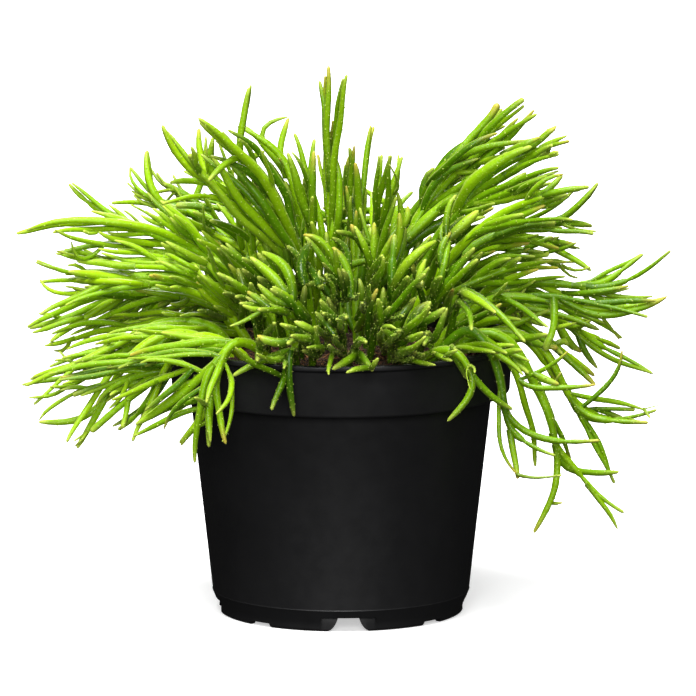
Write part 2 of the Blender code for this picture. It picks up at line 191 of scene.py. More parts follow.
def placeFloor():
    # matt white light table, lit a little from within, so shadows on it stay faint
    look, tree, shader = newLook("matt white light table")
    place = addNode(tree, "ShaderNodeTexCoord").outputs["Object"]
    cloud = addNode(tree, "ShaderNodeTexNoise", {"Vector": place, "Scale": 1 / (300 * mm)})
    white = addNode(tree, "ShaderNodeMix", {0: cloud, 6: srgb("#F4F4F3"), 7: srgb("#FAFAFA")},
                    data_type="RGBA")
    feed(tree, shader, {"Base Color": white, "Roughness": 0.9, "Specular IOR Level": 0.1,
                        "Emission Color": srgb("#FFFFFF"), "Emission Strength": studio["tableGlow"]})
    mesh = bpy.data.meshes.new("floor")
    half = studio["tableHalf"]
    corners = [(-half, -half, 0), (half, -half, 0), (half, half, 0), (-half, half, 0)]
    mesh.from_pydata(corners, [], [(0, 1, 2, 3)])
    floor = bpy.data.objects.new("floor", mesh)
    floor.data.materials.append(look)
    floor.visible_glossy = False
    floor.visible_diffuse = False
    bpy.context.scene.collection.objects.link(floor)


placeCamera()
placeLights()
placeSky()
placeFloor()
print("camera, light and floor placed")


# pot: turned from a profile of (radius, height, rounding) in millimetres, down its outer side
pot = dict(steps=140, roundingSteps=5, roundingShare=0.45, sharpFrom=38, notches=8, firstNotch=-86.4,
           footRadius=41.5, gapDepth=(34, 47), gapTop=4.9, gapHalf=3.5, gapBend=(4.5, 0.9),
           gapFoot=7.4, gapBelow=2, gapSteps=9, recessHalf=9.4, recessMiddle=6, recessRounding=0.8,
           recessTop=41.0, recessFoot=41.75, recessBelow=1, recessSteps=(4, 5, 4),
           lowGap=[(-4.7, -2), (-4.7, 0), (-4.1, 1.4), (4.1, 1.4), (4.7, 0), (4.7, -2)],
           drainRadius=3.5, drainRing=27.0, drainSides=20, drainLength=8, drainHeight=5.8)
potProfile = [
    (0, 6.6, 0), (42.2, 6.6, 1.2), (50.0, 76.0, 0.8), (55.9, 77.3, 0.8), (56.9, 93.4, 0.5), (57.6, 94.0, 0.3),
    (60.0, 94.0, 0.55), (60.0, 92.3, 0.5), (58.2, 91.9, 0.5), (57.3, 76.0, 0.9), (51.3, 75.5, 0.5),
    (43.6, 7.7, 0.1), (43.75, 7.45, 0.1), (43.55, 7.1, 0.2), (41.75, 2.6, 2.2), (41.5, 0, 1.0),
    (38.9, 0, 0.5), (38.9, 5.0, 0.4), (0, 5.0, 0),
]
lipInside, (lipRadius, lipTop) = potProfile[4][0], potProfile[6][:2]


def bent(start, shoulder, end, share):
    # a curve bent by its middle point, at a share of its way
    return (1 - share) ** 2 * start + 2 * share * (1 - share) * shoulder + share ** 2 * end


def roundedProfile(points, steps):
    made = []
    for index, (radius, height, rounding) in enumerate(points):
        corner = np.array([radius, height], float)
        if rounding == 0:
            made.append(corner)
            continue
        before = np.array(points[index - 1][:2]) - corner
        after = np.array(points[index + 1][:2]) - corner
        sides = [np.linalg.norm(before), np.linalg.norm(after)]
        reach = min(rounding, *[side * pot["roundingShare"] for side in sides])
        first, last = corner + before / sides[0] * reach, corner + after / sides[1] * reach
        made += [bent(first, corner, last, share) for share in np.linspace(0, 1, steps)]
    return np.array(made)


def shellFaces(rings, steps):
    # the faces of a closed shell: a point on the axis, rings of points, and a last point on the axis
    faces = []
    for step in range(steps):
        after = (step + 1) % steps
        faces.append((0, 1 + step, 1 + after))
        for ring in range(rings - 1):
            upper, lower = 1 + ring * steps, 1 + (ring + 1) * steps
            faces.append((upper + step, lower + step, lower + after, upper + after))
        lowest = 1 + (rings - 1) * steps
        faces.append((lowest + step, lowest + steps, lowest + after))
    return faces


def turnedShell(profile, steps):
    angles = np.linspace(0, 2 * np.pi, steps, endpoint=False)
    places = [(0, 0, profile[0][1])]
    for radius, height in profile[1:-1]:
        places += [(radius * math.cos(a), radius * math.sin(a), height) for a in angles]
    places.append((0, 0, profile[-1][1]))
    shell = bmesh.new()
    made = [shell.verts.new(Vector(place) * mm) for place in places]
    for face in shellFaces(len(profile) - 2, steps):
        shell.faces.new([made[corner] for corner in face])
    bmesh.ops.recalc_face_normals(shell, faces=shell.faces)
    return shell


def extruded(shell, outline, turn, depth):
    # a prism: an outline of (across, up) points pushed outward from depth[0] to depth[1] at an angle
    outward = Vector((math.cos(turn), math.sin(turn), 0))
    across = Vector((-outward.y, outward.x, 0))
    near, far = [[shell.verts.new((outward * out + across * x + Vector((0, 0, z))) * mm) for x, z in outline]
                 for out in depth]
    shell.faces.new(near)
    shell.faces.new(far[::-1])
    for index in range(len(outline)):
        after = (index + 1) % len(outline)
        shell.faces.new((near[after], near[index], far[index], far[after]))


def recess(shell, turn):
    # a curved slice off the outside of the foot ring, deepest at its top, with rounded upper corners
    reach, middle, rounding = pot["recessHalf"], pot["recessMiddle"], pot["recessRounding"]
    outside, below = pot["gapDepth"][1], -pot["recessBelow"]
    columns = []
    spans = ((-reach, rounding - reach), (-middle, middle), (reach - rounding, reach))
    for across in np.concatenate([np.linspace(*span, count)
                                  for span, count in zip(spans, pot["recessSteps"])]):
        corner = max(0, abs(across) - reach + rounding)
        angle = turn + across / pot["footRadius"]
        around = Vector((math.cos(angle), math.sin(angle), 0))
        top = pot["gapTop"] - (rounding - math.sqrt(rounding**2 - corner**2))
        section = ((pot["recessFoot"], below), (pot["recessTop"], top), (outside, top), (outside, below))
        columns.append([shell.verts.new((around * radius + Vector((0, 0, height))) * mm)
                        for radius, height in section])
    for left, right in zip(columns, columns[1:]):
        for index in range(len(left)):
            after = (index + 1) % len(left)
            shell.faces.new((left[index], left[after], right[after], right[index]))
    shell.faces.new(columns[0])
    shell.faces.new(columns[-1][::-1])


def carve(mesh, shell):
    bmesh.ops.recalc_face_normals(shell, faces=shell.faces)
    cutterMesh = bpy.data.meshes.new("cutter")
    shell.to_mesh(cutterMesh)
    shell.free()
    cutter = bpy.data.objects.new("cutter", cutterMesh)
    carved = bpy.data.objects.new("carved", mesh)
    for helper in (cutter, carved):
        bpy.context.scene.collection.objects.link(helper)
    boolean = carved.modifiers.new("cut", "BOOLEAN")
    boolean.operation = "DIFFERENCE"
    boolean.object = cutter
    boolean.solver = "EXACT"
    made = bpy.data.meshes.new_from_object(carved.evaluated_get(bpy.context.evaluated_depsgraph_get()))
    for helper in (cutter, carved):
        bpy.data.objects.remove(helper)
    return made


def potLook():
    # black moulded polypropylene: satin, with the mould's fine grain and faint uneven gloss
    look, tree, shader = newLook("black moulded polypropylene")
    place = addNode(tree, "ShaderNodeTexCoord").outputs["Object"]
    cloud = addNode(tree, "ShaderNodeTexNoise", {"Vector": place, "Scale": 1 / (14 * mm), "Detail": 3})
    black = addNode(tree, "ShaderNodeMix", {0: cloud, 6: srgb("#151516"), 7: srgb("#1C1C1D")},
                    data_type="RGBA")
    wear = addNode(tree, "ShaderNodeTexNoise", {"Vector": place, "Scale": 1 / (5 * mm), "Detail": 4,
                                                "Roughness": 0.6})
    gloss = addNode(tree, "ShaderNodeMapRange", {0: wear, 1: 0.3, 2: 0.7, 3: 0.4, 4: 0.5})
    fine = addNode(tree, "ShaderNodeTexNoise", {"Vector": place, "Scale": 1 / (0.35 * mm)})
    bump = addNode(tree, "ShaderNodeBump", {"Height": fine, "Distance": 0.02 * mm, "Strength": 0.35})
    feed(tree, shader, {"Base Color": black, "Roughness": gloss, "Specular IOR Level": 0.4, "Normal": bump})
    return look


def makePot():
    shell = turnedShell(roundedProfile(potProfile, pot["roundingSteps"]), pot["steps"])
    mesh = bpy.data.meshes.new("pot")
    shell.to_mesh(mesh)
    shell.free()
    recesses, gaps, drains = bmesh.new(), bmesh.new(), bmesh.new()
    top, foot = np.array([pot["gapHalf"], pot["gapTop"]]), np.array([pot["gapFoot"], 0])
    side = [bent(top, np.array(pot["gapBend"]), foot, share) for share in np.linspace(0, 1, pot["gapSteps"])]
    side.append(foot - (0, pot["gapBelow"]))
    tallGap = [(-x, z) for x, z in side[::-1]] + side
    for index in range(pot["notches"]):
        turn = math.radians(pot["firstNotch"] + index * 360 / pot["notches"])
        # tall notches, each in a recess, take turns with low ones
        if index % 2 == 0:
            recess(recesses, turn)
        extruded(gaps, pot["lowGap"] if index % 2 else tallGap, turn, pot["gapDepth"])
        drain = bmesh.ops.create_cone(drains, cap_ends=True, segments=pot["drainSides"],
                                      depth=pot["drainLength"] * mm, radius1=pot["drainRadius"] * mm,
                                      radius2=pot["drainRadius"] * mm)
        middle = Vector((math.cos(turn), math.sin(turn), 0)) * pot["drainRing"]
        middle.z = pot["drainHeight"]
        bmesh.ops.translate(drains, verts=drain["verts"], vec=middle * mm)
    for shell in (recesses, gaps, drains):
        mesh = carve(mesh, shell)
    mesh.materials.clear()
    mesh.materials.append(potLook())
    mesh.shade_smooth()
    mesh.set_sharp_from_angle(angle=math.radians(pot["sharpFrom"]))
    addPiece("nurseryPot", mesh, "pot")


makePot()
print("pot made", seconds())


# stems: the same rule and the same draws as the CAD solids, in millimetres. Root is where a stem stands,
# rise how far it first goes up, lean how early it bends over, node where it ends, and tips where its forks
# end, each from its share of the stem; fill is the number of forks more that are drawn at random.
sideHabit = dict(lean=0.3, radius=1.3, shares=(1, 0.93, 0.62, 0.45), fill=1)
frontHabit = dict(lean=0.5, radius=1.75, shares=(1, 0.6, 0.42, 0.3), fill=0)
stemRadius, stemTaper, tipTaper = 1.85, 0.88, 0.62
soilTop, footHeight, collarHeight, lowestShoot = 90.0, 81.4, 91.5, 90.5
# a stem that touches the pot or another spray is drawn again, each time nudged a little further
stemRule = dict(seed=11, tries=160, lastNudge=1.8, nudge=(3.0, 10.0, 3.0), clearance=0.4, sampleGap=1.2,
                points=5, rootShare=(0.7, 0.3, 0), shoulderShare=(1, 0.5, 1), sunk=0.6, tipShare=0.7,
                spring=0.4, bendShare=0.5, shootPoints=3, longShoot=34, fillSpan=(0.3, 0.6),
                fillReach=(-8.0, 14.0), fillSpread=(10.0, 14.0, 12.0), fillUp=3)

leftSprays = {
    "left_crest": dict(root=(-22, 6), rise=37, node=(-77, 8, 132),
                       tips=[(-110, 5, 129), (-92, 10, 145), (-97, -10, 131), (-96, 0, 122)]),
    "left_high": dict(root=(-17, 16), rise=42, node=(-57, 28, 133),
                      tips=[(-66, 32, 153), (-72, 36, 146), (-78, 40, 133)]),
    "left_blade": dict(root=(-15, -6), rise=50, node=(-46, -18, 151),
                       tips=[(-60, -22, 170), (-57, -10, 148), (-60, -32, 145)]),
    "left_pair": dict(root=(-20, 24), rise=45, node=(-44, 34, 143),
                      tips=[(-48, 40, 159), (-44, 32, 157)]),
    "left_diagonal": dict(root=(-8, -6), rise=55, node=(-34, -24, 161),
                          tips=[(-48, -30, 173), (-44, -36, 154)]),
    "left_spire": dict(root=(-27, -3), rise=36, node=(-34, -2, 156),
                       tips=[(-31, -2, 180), (-26, 4, 157)]),
    "left_behind": dict(root=(-8, 20), rise=44, node=(-20, 30, 147),
                        tips=[(-35, 34, 161), (-18, 36, 163)]),
    "left_level": dict(root=(-31, -2), rise=30, node=(-75, -2, 115),
                       tips=[(-103, -8, 121), (-102, 6, 112), (-101, -14, 104)]),
    "left_low": dict(root=(-34, 12), rise=24, node=(-77, 24, 103),
                     tips=[(-106, 26, 92), (-99, 18, 89), (-96, 34, 98)]),
    "left_sweep": dict(root=(-38, -10), rise=17, node=(-72, -12, 95),
                       tips=[(-105, -6, 81), (-107, -13, 79), (-104, -22, 75)]),
    "left_drop": dict(root=(-37, -20), rise=20, node=(-80, -26, 77), lean=0.65,
                      tips=[(-102, -30, 70), (-89, -35, 62)]),
    "left_corner": dict(root=(-32, -30), rise=19, node=(-62, -38, 84), lean=0.65,
                        tips=[(-75, -34, 68), (-70, -43, 66), (-67, -30, 71)]),
    "left_rim": dict(root=(-24, -40), rise=21, node=(-44, -52, 82), lean=0.7,
                     tips=[(-54, -48, 66), (-45, -56, 66), (-38, -60, 68)]),
}

centreSprays = {
    "top_trio": dict(root=(-3, 5), rise=34, node=(-4, 2, 148),
                     tips=[(-4, 0, 186), (-7, 7, 181), (2, -4, 184)]),
    "centre_left": dict(root=(-11, 4), rise=22, node=(-11, -10, 137),
                        tips=[(-18, -16, 159), (-9, -8, 163)]),
    "centre_right": dict(root=(5, 8), rise=26, node=(6, 16, 136),
                         tips=[(3, 12, 157), (11, 24, 162)]),
    "centre_fan": dict(root=(12, 2), rise=24, node=(12, -6, 137),
                       tips=[(14, -8, 158), (17, -16, 159), (21, -2, 156)]),
}

rightSprays = {
    "right_crown": dict(root=(14, 16), rise=38, node=(38, 26, 147),
                        tips=[(53, 30, 168), (62, 24, 170), (66, 16, 168)]),
    "right_brush": dict(root=(18, 4), rise=47, node=(62, -2, 158),
                        tips=[(73, -4, 166), (77, 4, 161), (74, -12, 159), (73, -20, 155)]),
    "right_blunt": dict(root=(20, -8), rise=43, node=(69, -26, 147),
                        tips=[(83, -28, 150), (74, -20, 153)]),
    "right_fork": dict(root=(24, 12), rise=38, node=(72, 22, 130),
                       tips=[(87, 20, 143), (85, 28, 127), (86, 16, 126)]),
    "right_shelf": dict(root=(24, 22), rise=35, node=(66, 40, 121),
                        tips=[(80, 44, 119), (85, 38, 110), (80, 54, 115)]),
    "right_wave": dict(root=(30, -3), rise=27, node=(84, 0, 111),
                       tips=[(111.5, -4, 124), (102, 8, 121)]),
    "right_bow": dict(root=(33, -12), rise=25, node=(74, -15, 108),
                      tips=[(109, -15, 110), (95, -11, 95), (104, -22, 104)]),
    "right_low": dict(root=(37, 10), rise=21, node=(78, 20, 94),
                      tips=[(106, 18, 78), (95, 28, 85), (104, 26, 102)]),
    "right_edge": dict(root=(40, -4), rise=16, node=(68, -4, 95),
                       tips=[(86, 2, 80), (86, -10, 79), (75, -20, 91)]),
    "right_drop": dict(root=(41, -14), rise=21, node=(79, -17, 73), lean=0.6, shares=(1, 0.95, 0.9, 0.85),
                       tips=[(107, -12, 71), (104, -21, 68), (100, -9, 66), (92, -18, 47)]),
    "right_trail": dict(root=(36, -25), rise=27, node=(74, -29, 57), lean=0.6, shares=(1, 0.96, 0.92),
                        tips=[(94, -25, 52), (65, -33, 33), (95, -31, 39)]),
    "right_hanger": dict(root=(31, -34), rise=31, node=(57, -40, 68), lean=0.7, shares=(0.9, 1, 0.95),
                         tips=[(87, -44, 66), (59, -46, 54), (72, -47, 62)]),
    "right_front": dict(root=(24, -42), rise=13, node=(44, -52, 90), lean=0.7,
                        tips=[(36, -57, 75), (58, -50, 78)]),
}

frontSprays = {
    "front_01": dict(root=(-20, -12), rise=20, node=(-22, -32, 117),
                     tips=[(-28, -40, 130), (-33, -47, 129), (-40, -36, 131)]),
    "front_02": dict(root=(-27, -22), rise=16, node=(-28, -42, 113),
                     tips=[(-41, -50, 124), (-30, -58, 122), (-35, -63, 119)]),
    "front_03": dict(root=(-14, -24), rise=13, node=(-11, -46, 107),
                     tips=[(-23, -66, 122), (-34, -70, 117), (-27, -76, 117)]),
    "front_04": dict(root=(-4, -10), rise=20, node=(0, -30, 116),
                     tips=[(-12, -35, 134), (-2, -41, 131), (-5, -56, 125)]),
    "front_05": dict(root=(1, -24), rise=13, node=(-1, -48, 106),
                     tips=[(-7, -66, 118), (-6, -75, 115), (2, -80, 114)]),
    "front_06": dict(root=(-9, -38), rise=11, node=(-9, -56, 100),
                     tips=[(-9, -74, 110), (-18, -80, 112), (-18, -86, 107)]),
    "front_07": dict(root=(9, -7), rise=24, node=(10, -24, 122),
                     tips=[(4, -28, 137), (11, -20, 136), (14, -46, 129)]),
    "front_08": dict(root=(15, -17), rise=17, node=(17, -36, 114),
                     tips=[(18, -31, 134), (30, -37, 135), (23, -56, 124)]),
    "front_09": dict(root=(9, -30), rise=13, node=(13, -50, 107),
                     tips=[(13, -66, 118), (17, -60, 115), (28, -56, 127)]),
    "front_10": dict(root=(17, -36), rise=11, node=(19, -55, 101),
                     tips=[(30, -66, 117), (14, -74, 110), (20, -79, 110), (30, -75, 115)]),
    "front_11": dict(root=(27, -33), rise=11, node=(31, -53, 101),
                     tips=[(36, -62, 115), (28, -77, 109), (28, -86, 106)]),
    "front_12": dict(root=(26, -16), rise=17, node=(31, -35, 114),
                     tips=[(37, -25, 134), (45, -40, 131), (46, -46, 128)]),
    "front_13": dict(root=(34, -24), rise=17, node=(41, -37, 115),
                     tips=[(62, -62, 103), (44, -70, 109)]),
    "front_14": dict(root=(-25, -32), rise=11, node=(-27, -54, 101),
                     tips=[(-28, -78, 107), (-28, -76, 99), (-22, -72, 111)]),
    "front_15": dict(root=(-15, -43), rise=10, node=(-17, -62, 99), lean=0.6,
                     tips=[(-16, -64, 78), (-36, -66, 92), (-24, -66, 81)]),
    "front_16": dict(root=(3, -42), rise=9, node=(5, -60, 99),
                     tips=[(-3, -72, 95), (11, -70, 95), (8, -91.5, 108)]),
}

backRing = dict(seed=7, count=11, half=(20, 160), root=(38.0, 22.0), reach=(66.0, 58.0),
                height=(104.0, 124.0), rise=(26, 34), tipReach=(93.0, 84.0), tipLift=(-18.0, 4.0),
                swings=(-0.3, 0, 0.32), shorter=5.0,
                scatter=dict(root=2, node=5, turn=0.08, reach=2, height=10))


def unit(vector):
    return vector / np.linalg.norm(vector)


class Stem:
    # a centreline bent by three points, with its radii; a main stem also has a foot in the soil
    def __init__(self, spray, bend, radii, points, foot=None, kind="shoot", look="m"):
        self.spray = spray
        self.bend = bend
        self.rooted = int(foot is not None)
        self.foot = foot
        self.line = bent(*bend, np.linspace(0, 1, points)[:, None])
        self.radii = np.linspace(*radii, points)
        self.kind = "stem" if self.rooted else kind
        self.look = look
        if self.rooted:
            self.line = np.vstack([foot, self.line])
            self.radii = np.append(radii[0], self.radii)

    def point(self, share):
        steps = np.linspace(0, 1, len(self.line) - self.rooted)
        return np.array([np.interp(share, steps, axis) for axis in self.line[self.rooted:].T])

    def heading(self, share):
        start, shoulder, end = self.bend
        return unit((1 - share) * (shoulder - start) + share * (end - shoulder))

    def samples(self, first=0):
        return np.concatenate([np.linspace(a, b, max(2, int(np.linalg.norm(b - a) / stemRule["sampleGap"])))
                               for a, b in zip(self.line[first:-1], self.line[first + 1:])])


def clearOfPot(stem, clearance):
    spots = stem.samples(stem.rooted)
    thick = stem.radii.max() + clearance
    out = np.hypot(spots[:, 0], spots[:, 1])
    height = spots[:, 2]
    overLip = (out > lipInside - thick) & (out < lipRadius + thick)
    inMouth = out <= lipInside - thick
    return not ((overLip & (height < lipTop + thick)) | (inMouth & (height < lowestShoot))).any()


def distances(spots, starts, ends):
    # how far each of the spots is from the nearest place of each segment
    along = ends - starts
    share = ((spots[:, None] - starts) * along).sum(-1) / (along**2).sum(-1)
    return np.linalg.norm(spots[:, None] - (starts + np.clip(share, 0, 1)[..., None] * along), axis=-1)


def clearOfStems(stem, others):
    if not others:
        return True
    starts = np.concatenate([other.line[:-1] for other in others])
    ends = np.concatenate([other.line[1:] for other in others])
    radii = np.concatenate([np.maximum(other.radii[:-1], other.radii[1:]) for other in others])
    return (distances(stem.samples(), starts, ends) > radii + stem.radii.max() + stemRule["clearance"]).all()


def firstClear(make, placed, draw):
    for attempt in range(stemRule["tries"]):
        reach = stemRule["lastNudge"] * attempt / stemRule["tries"]
        stem = make(*draw.uniform(-reach, reach, (2, 3)) * stemRule["nudge"])
        others = [other for other in placed if other.spray != stem.spray]
        if clearOfPot(stem, stemRule["clearance"]) and clearOfStems(stem, others):
            return stem
    return None


def mainStem(name, plan, placed, draw):
    def make(nudge, sway):
        root = np.array([*plan["root"], 0]) + sway * stemRule["rootShare"]
        collar = root + (0, 0, collarHeight)
        node = np.array(plan["node"]) + nudge
        forward = (node - collar) * (plan["lean"], plan["lean"], 0)
        shoulder = collar + forward + (0, 0, plan["rise"]) + sway * stemRule["shoulderShare"]
        return Stem(name, (collar, shoulder, node), (stemRadius, stemRadius * stemTaper), stemRule["points"],
                    root + (0, 0, footHeight))
    return firstClear(make, placed, draw)


def shoot(stem, share, tip, radius, placed, draw):
    heading = stem.heading(share)
    start = stem.point(share) - heading * stemRadius * stemRule["sunk"]

    def make(nudge, sway):
        end = tip + nudge * stemRule["tipShare"]
        reach = np.linalg.norm(end - start)
        bend = start + heading * reach * stemRule["spring"] + sway * stemRule["bendShare"]
        points = stemRule["shootPoints"] + (reach > stemRule["longShoot"])
        return Stem(stem.spray, (start, bend, end), (radius, radius * tipTaper), points)
    return firstClear(make, placed, draw)


def backPlans():
    # sprays that arch away behind the pot, evenly round its back half
    draw = np.random.default_rng(backRing["seed"])
    plans = {}

    def about(key, count=None):
        return draw.uniform(-backRing["scatter"][key], backRing["scatter"][key], count)

    for index in range(backRing["count"]):
        angle = np.radians(np.interp((index + 0.5) / backRing["count"], (0, 1), backRing["half"]))
        outward = np.array([np.cos(angle), np.sin(angle)])
        near = index % 2
        root = outward * backRing["root"][near] + about("root", 2)
        node = (*(outward * backRing["reach"][near]), backRing["height"][near] + about("node"))
        tips = []
        for fork, swing in enumerate(backRing["swings"]):
            turnedTo = angle + swing + about("turn")
            far = backRing["tipReach"][near] - backRing["shorter"] * abs(fork - 1) + about("reach")
            height = node[2] + backRing["tipLift"][near] + about("height")
            tips.append((far * np.cos(turnedTo), far * np.sin(turnedTo), height))
        plans[f"back_{index + 1:02d}"] = dict(root=root, rise=backRing["rise"][near], node=node, tips=tips)
    return plans


def allPlans():
    plans = {}
    for region, sprays in (("centre", centreSprays), ("left", leftSprays), ("right", rightSprays),
                           ("front", frontSprays), ("back", backPlans())):
        habit = frontHabit if region == "front" else sideHabit
        plans.update({name: {**habit, **plan, "region": region} for name, plan in sprays.items()})
    return plans


def grow(plans):
    draw = np.random.default_rng(stemRule["seed"])
    stems = {}
    for name, plan in plans.items():
        stems[name] = mainStem(name, plan, list(stems.values()), draw)
    placed = list(stems.values())
    for name, plan in plans.items():
        for share, tip in zip(plan["shares"], plan["tips"]):
            placed.append(shoot(stems[name], share, np.array(tip), plan["radius"], placed, draw))
    widest, up = np.array(stemRule["fillSpread"]), stemRule["fillUp"]
    for name, plan in plans.items():
        stem = stems[name]
        for share in draw.uniform(*stemRule["fillSpan"], plan["fill"]):
            aside = draw.uniform(-widest, (*widest[:2], up))
            tip = stem.bend[2] + stem.heading(1) * draw.uniform(*stemRule["fillReach"]) + aside
            grown = shoot(stem, share, tip, plan["radius"], placed, draw)
            if grown:
                placed.append(grown)
    return placed


plans = allPlans()
placed = grow(plans)
print("stems repeated from the CAD rule:", len(placed), seconds())

# how far each spray is from its CAD node's box, as a test of the repeated rule
worst = 0
for name in plans:
    own = [stem for stem in placed if stem.spray == name]
    low = np.min([(stem.line - stem.radii[:, None]).min(0) for stem in own], axis=0)
    high = np.max([(stem.line + stem.radii[:, None]).max(0) for stem in own], axis=0)
    boxLow, boxHigh = [np.array(corner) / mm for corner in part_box("spray_" + name)]
    worst = max(worst, np.abs(low - boxLow).max(), np.abs(high - boxHigh).max())
print("largest difference from a CAD box:", round(worst, 2), "mm")


# room for further shoots, which only the looks have: they may press into others by a little
room = dict(segments=40000, near=4, alone=9, potClearance=0.2, margin=0.6, clearance=-0.25, ownClearance=-0.6,
            firstFree=0.35)
# shoots from the sprays' stems: long ones from low on a stem, short ones from high on it
extras = {
    "centre": dict(long=1, short=0, radius=(1.2, 1.6), pull=(0.2, 0.5), aside=(6, 8, 4)),
    "back": dict(long=6, short=6, radius=(1.15, 1.5), pull=(0.03, 0.4), aside=(4, 4, 5)),
}
extraRule = dict(seed=23, tries=20, lowShares=(0.05, 0.35), highShares=(0.4, 0.97), points=10, topShare=0.7,
                 give=(0.3, 3), deeper=1.8, spring=0.42, wild=(2.5, 0.08))


class Crowd:
    # every segment of centreline grown so far, for quick tests of room
    def __init__(self):
        self.count = 0
        self.starts, self.ends = np.zeros((room["segments"], 3)), np.zeros((room["segments"], 3))
        self.radii, self.owners = np.zeros(room["segments"]), np.zeros(room["segments"], int)
        self.names = list(plans)

    def add(self, stem):
        span = slice(self.count, self.count + len(stem.line) - 1)
        self.starts[span], self.ends[span] = stem.line[:-1], stem.line[1:]
        self.radii[span] = np.maximum(stem.radii[:-1], stem.radii[1:])
        self.owners[span] = self.names.index(stem.spray)
        self.count = span.stop

    def gap(self, stem, spots, own):
        # from a stem to the nearest one of its own spray, or of the others
        low, high = spots.min(0) - room["near"], spots.max(0) + room["near"]
        starts, ends = self.starts[:self.count], self.ends[:self.count]
        close = (np.maximum(starts, ends) > low).all(1) & (np.minimum(starts, ends) < high).all(1)
        close &= (self.owners[:self.count] == self.names.index(stem.spray)) == own
        if not close.any():
            return room["alone"]
        distance = distances(spots, starts[close], ends[close])
        return (distance - self.radii[:self.count][close]).min() - stem.radii.max()


def inBox(stem):
    low, high = [np.array(corner) / mm for corner in cadBox]
    margin = stem.radii.max() + room["margin"]
    return (stem.line > low + margin).all() and (stem.line < high - margin).all()


def fits(stem, crowd, clearance, ownClearance, firstFree):
    if not (inBox(stem) and clearOfPot(stem, room["potClearance"])):
        return False
    spots = stem.samples()
    return (crowd.gap(stem, spots, False) > clearance
            and crowd.gap(stem, spots[int(len(spots) * firstFree):], True) > ownClearance)


def extraShoot(stem, share, tip, radius, crowd, draw, **habit):
    heading = stem.heading(share)
    start = stem.point(share) - heading * stemRadius * stemRule["sunk"]
    least, further = extraRule["give"]
    for attempt in range(extraRule["tries"]):
        give = least + further * attempt / extraRule["tries"]
        end = tip + draw.normal(0, 1, 3) * (give, give * extraRule["deeper"], give)
        reach = np.linalg.norm(end - start)
        wild = min(extraRule["wild"][0], reach * extraRule["wild"][1])
        bend = start + heading * reach * extraRule["spring"] + draw.normal(0, 1, 3) * wild
        made = Stem(stem.spray, (start, bend, end), (radius, radius * tipTaper), extraRule["points"], **habit)
        if fits(made, crowd, room["clearance"], room["ownClearance"], room["firstFree"]):
            return made
    return None


def growExtras(tree, crowd):
    draw = np.random.default_rng(extraRule["seed"])
    mains = {stem.spray: stem for stem in tree if stem.rooted}
    for name, plan in plans.items():
        habit = extras.get(plan["region"], dict(long=0, short=0))
        tips = [other.line[-1] for other in placed if other.spray == name and not other.rooted]
        for lowest, highest in ([extraRule["lowShares"]] * habit["long"]
                                + [extraRule["highShares"]] * habit["short"]):
            share = draw.uniform(lowest, highest)
            first, second = [tips[pick] for pick in draw.integers(0, len(tips), 2)]
            tip = first + (second - first) * draw.uniform() + draw.normal(0, 1, 3) * habit["aside"]
            inward = mains[name].point(max(share, extraRule["topShare"])) - tip
            tip = tip + inward * draw.uniform(*habit["pull"])
            radius = draw.uniform(*habit["radius"])
            made = extraShoot(mains[name], share, tip, radius, crowd, draw, kind="extra")
            if made:
                tree.append(made)
                crowd.add(made)


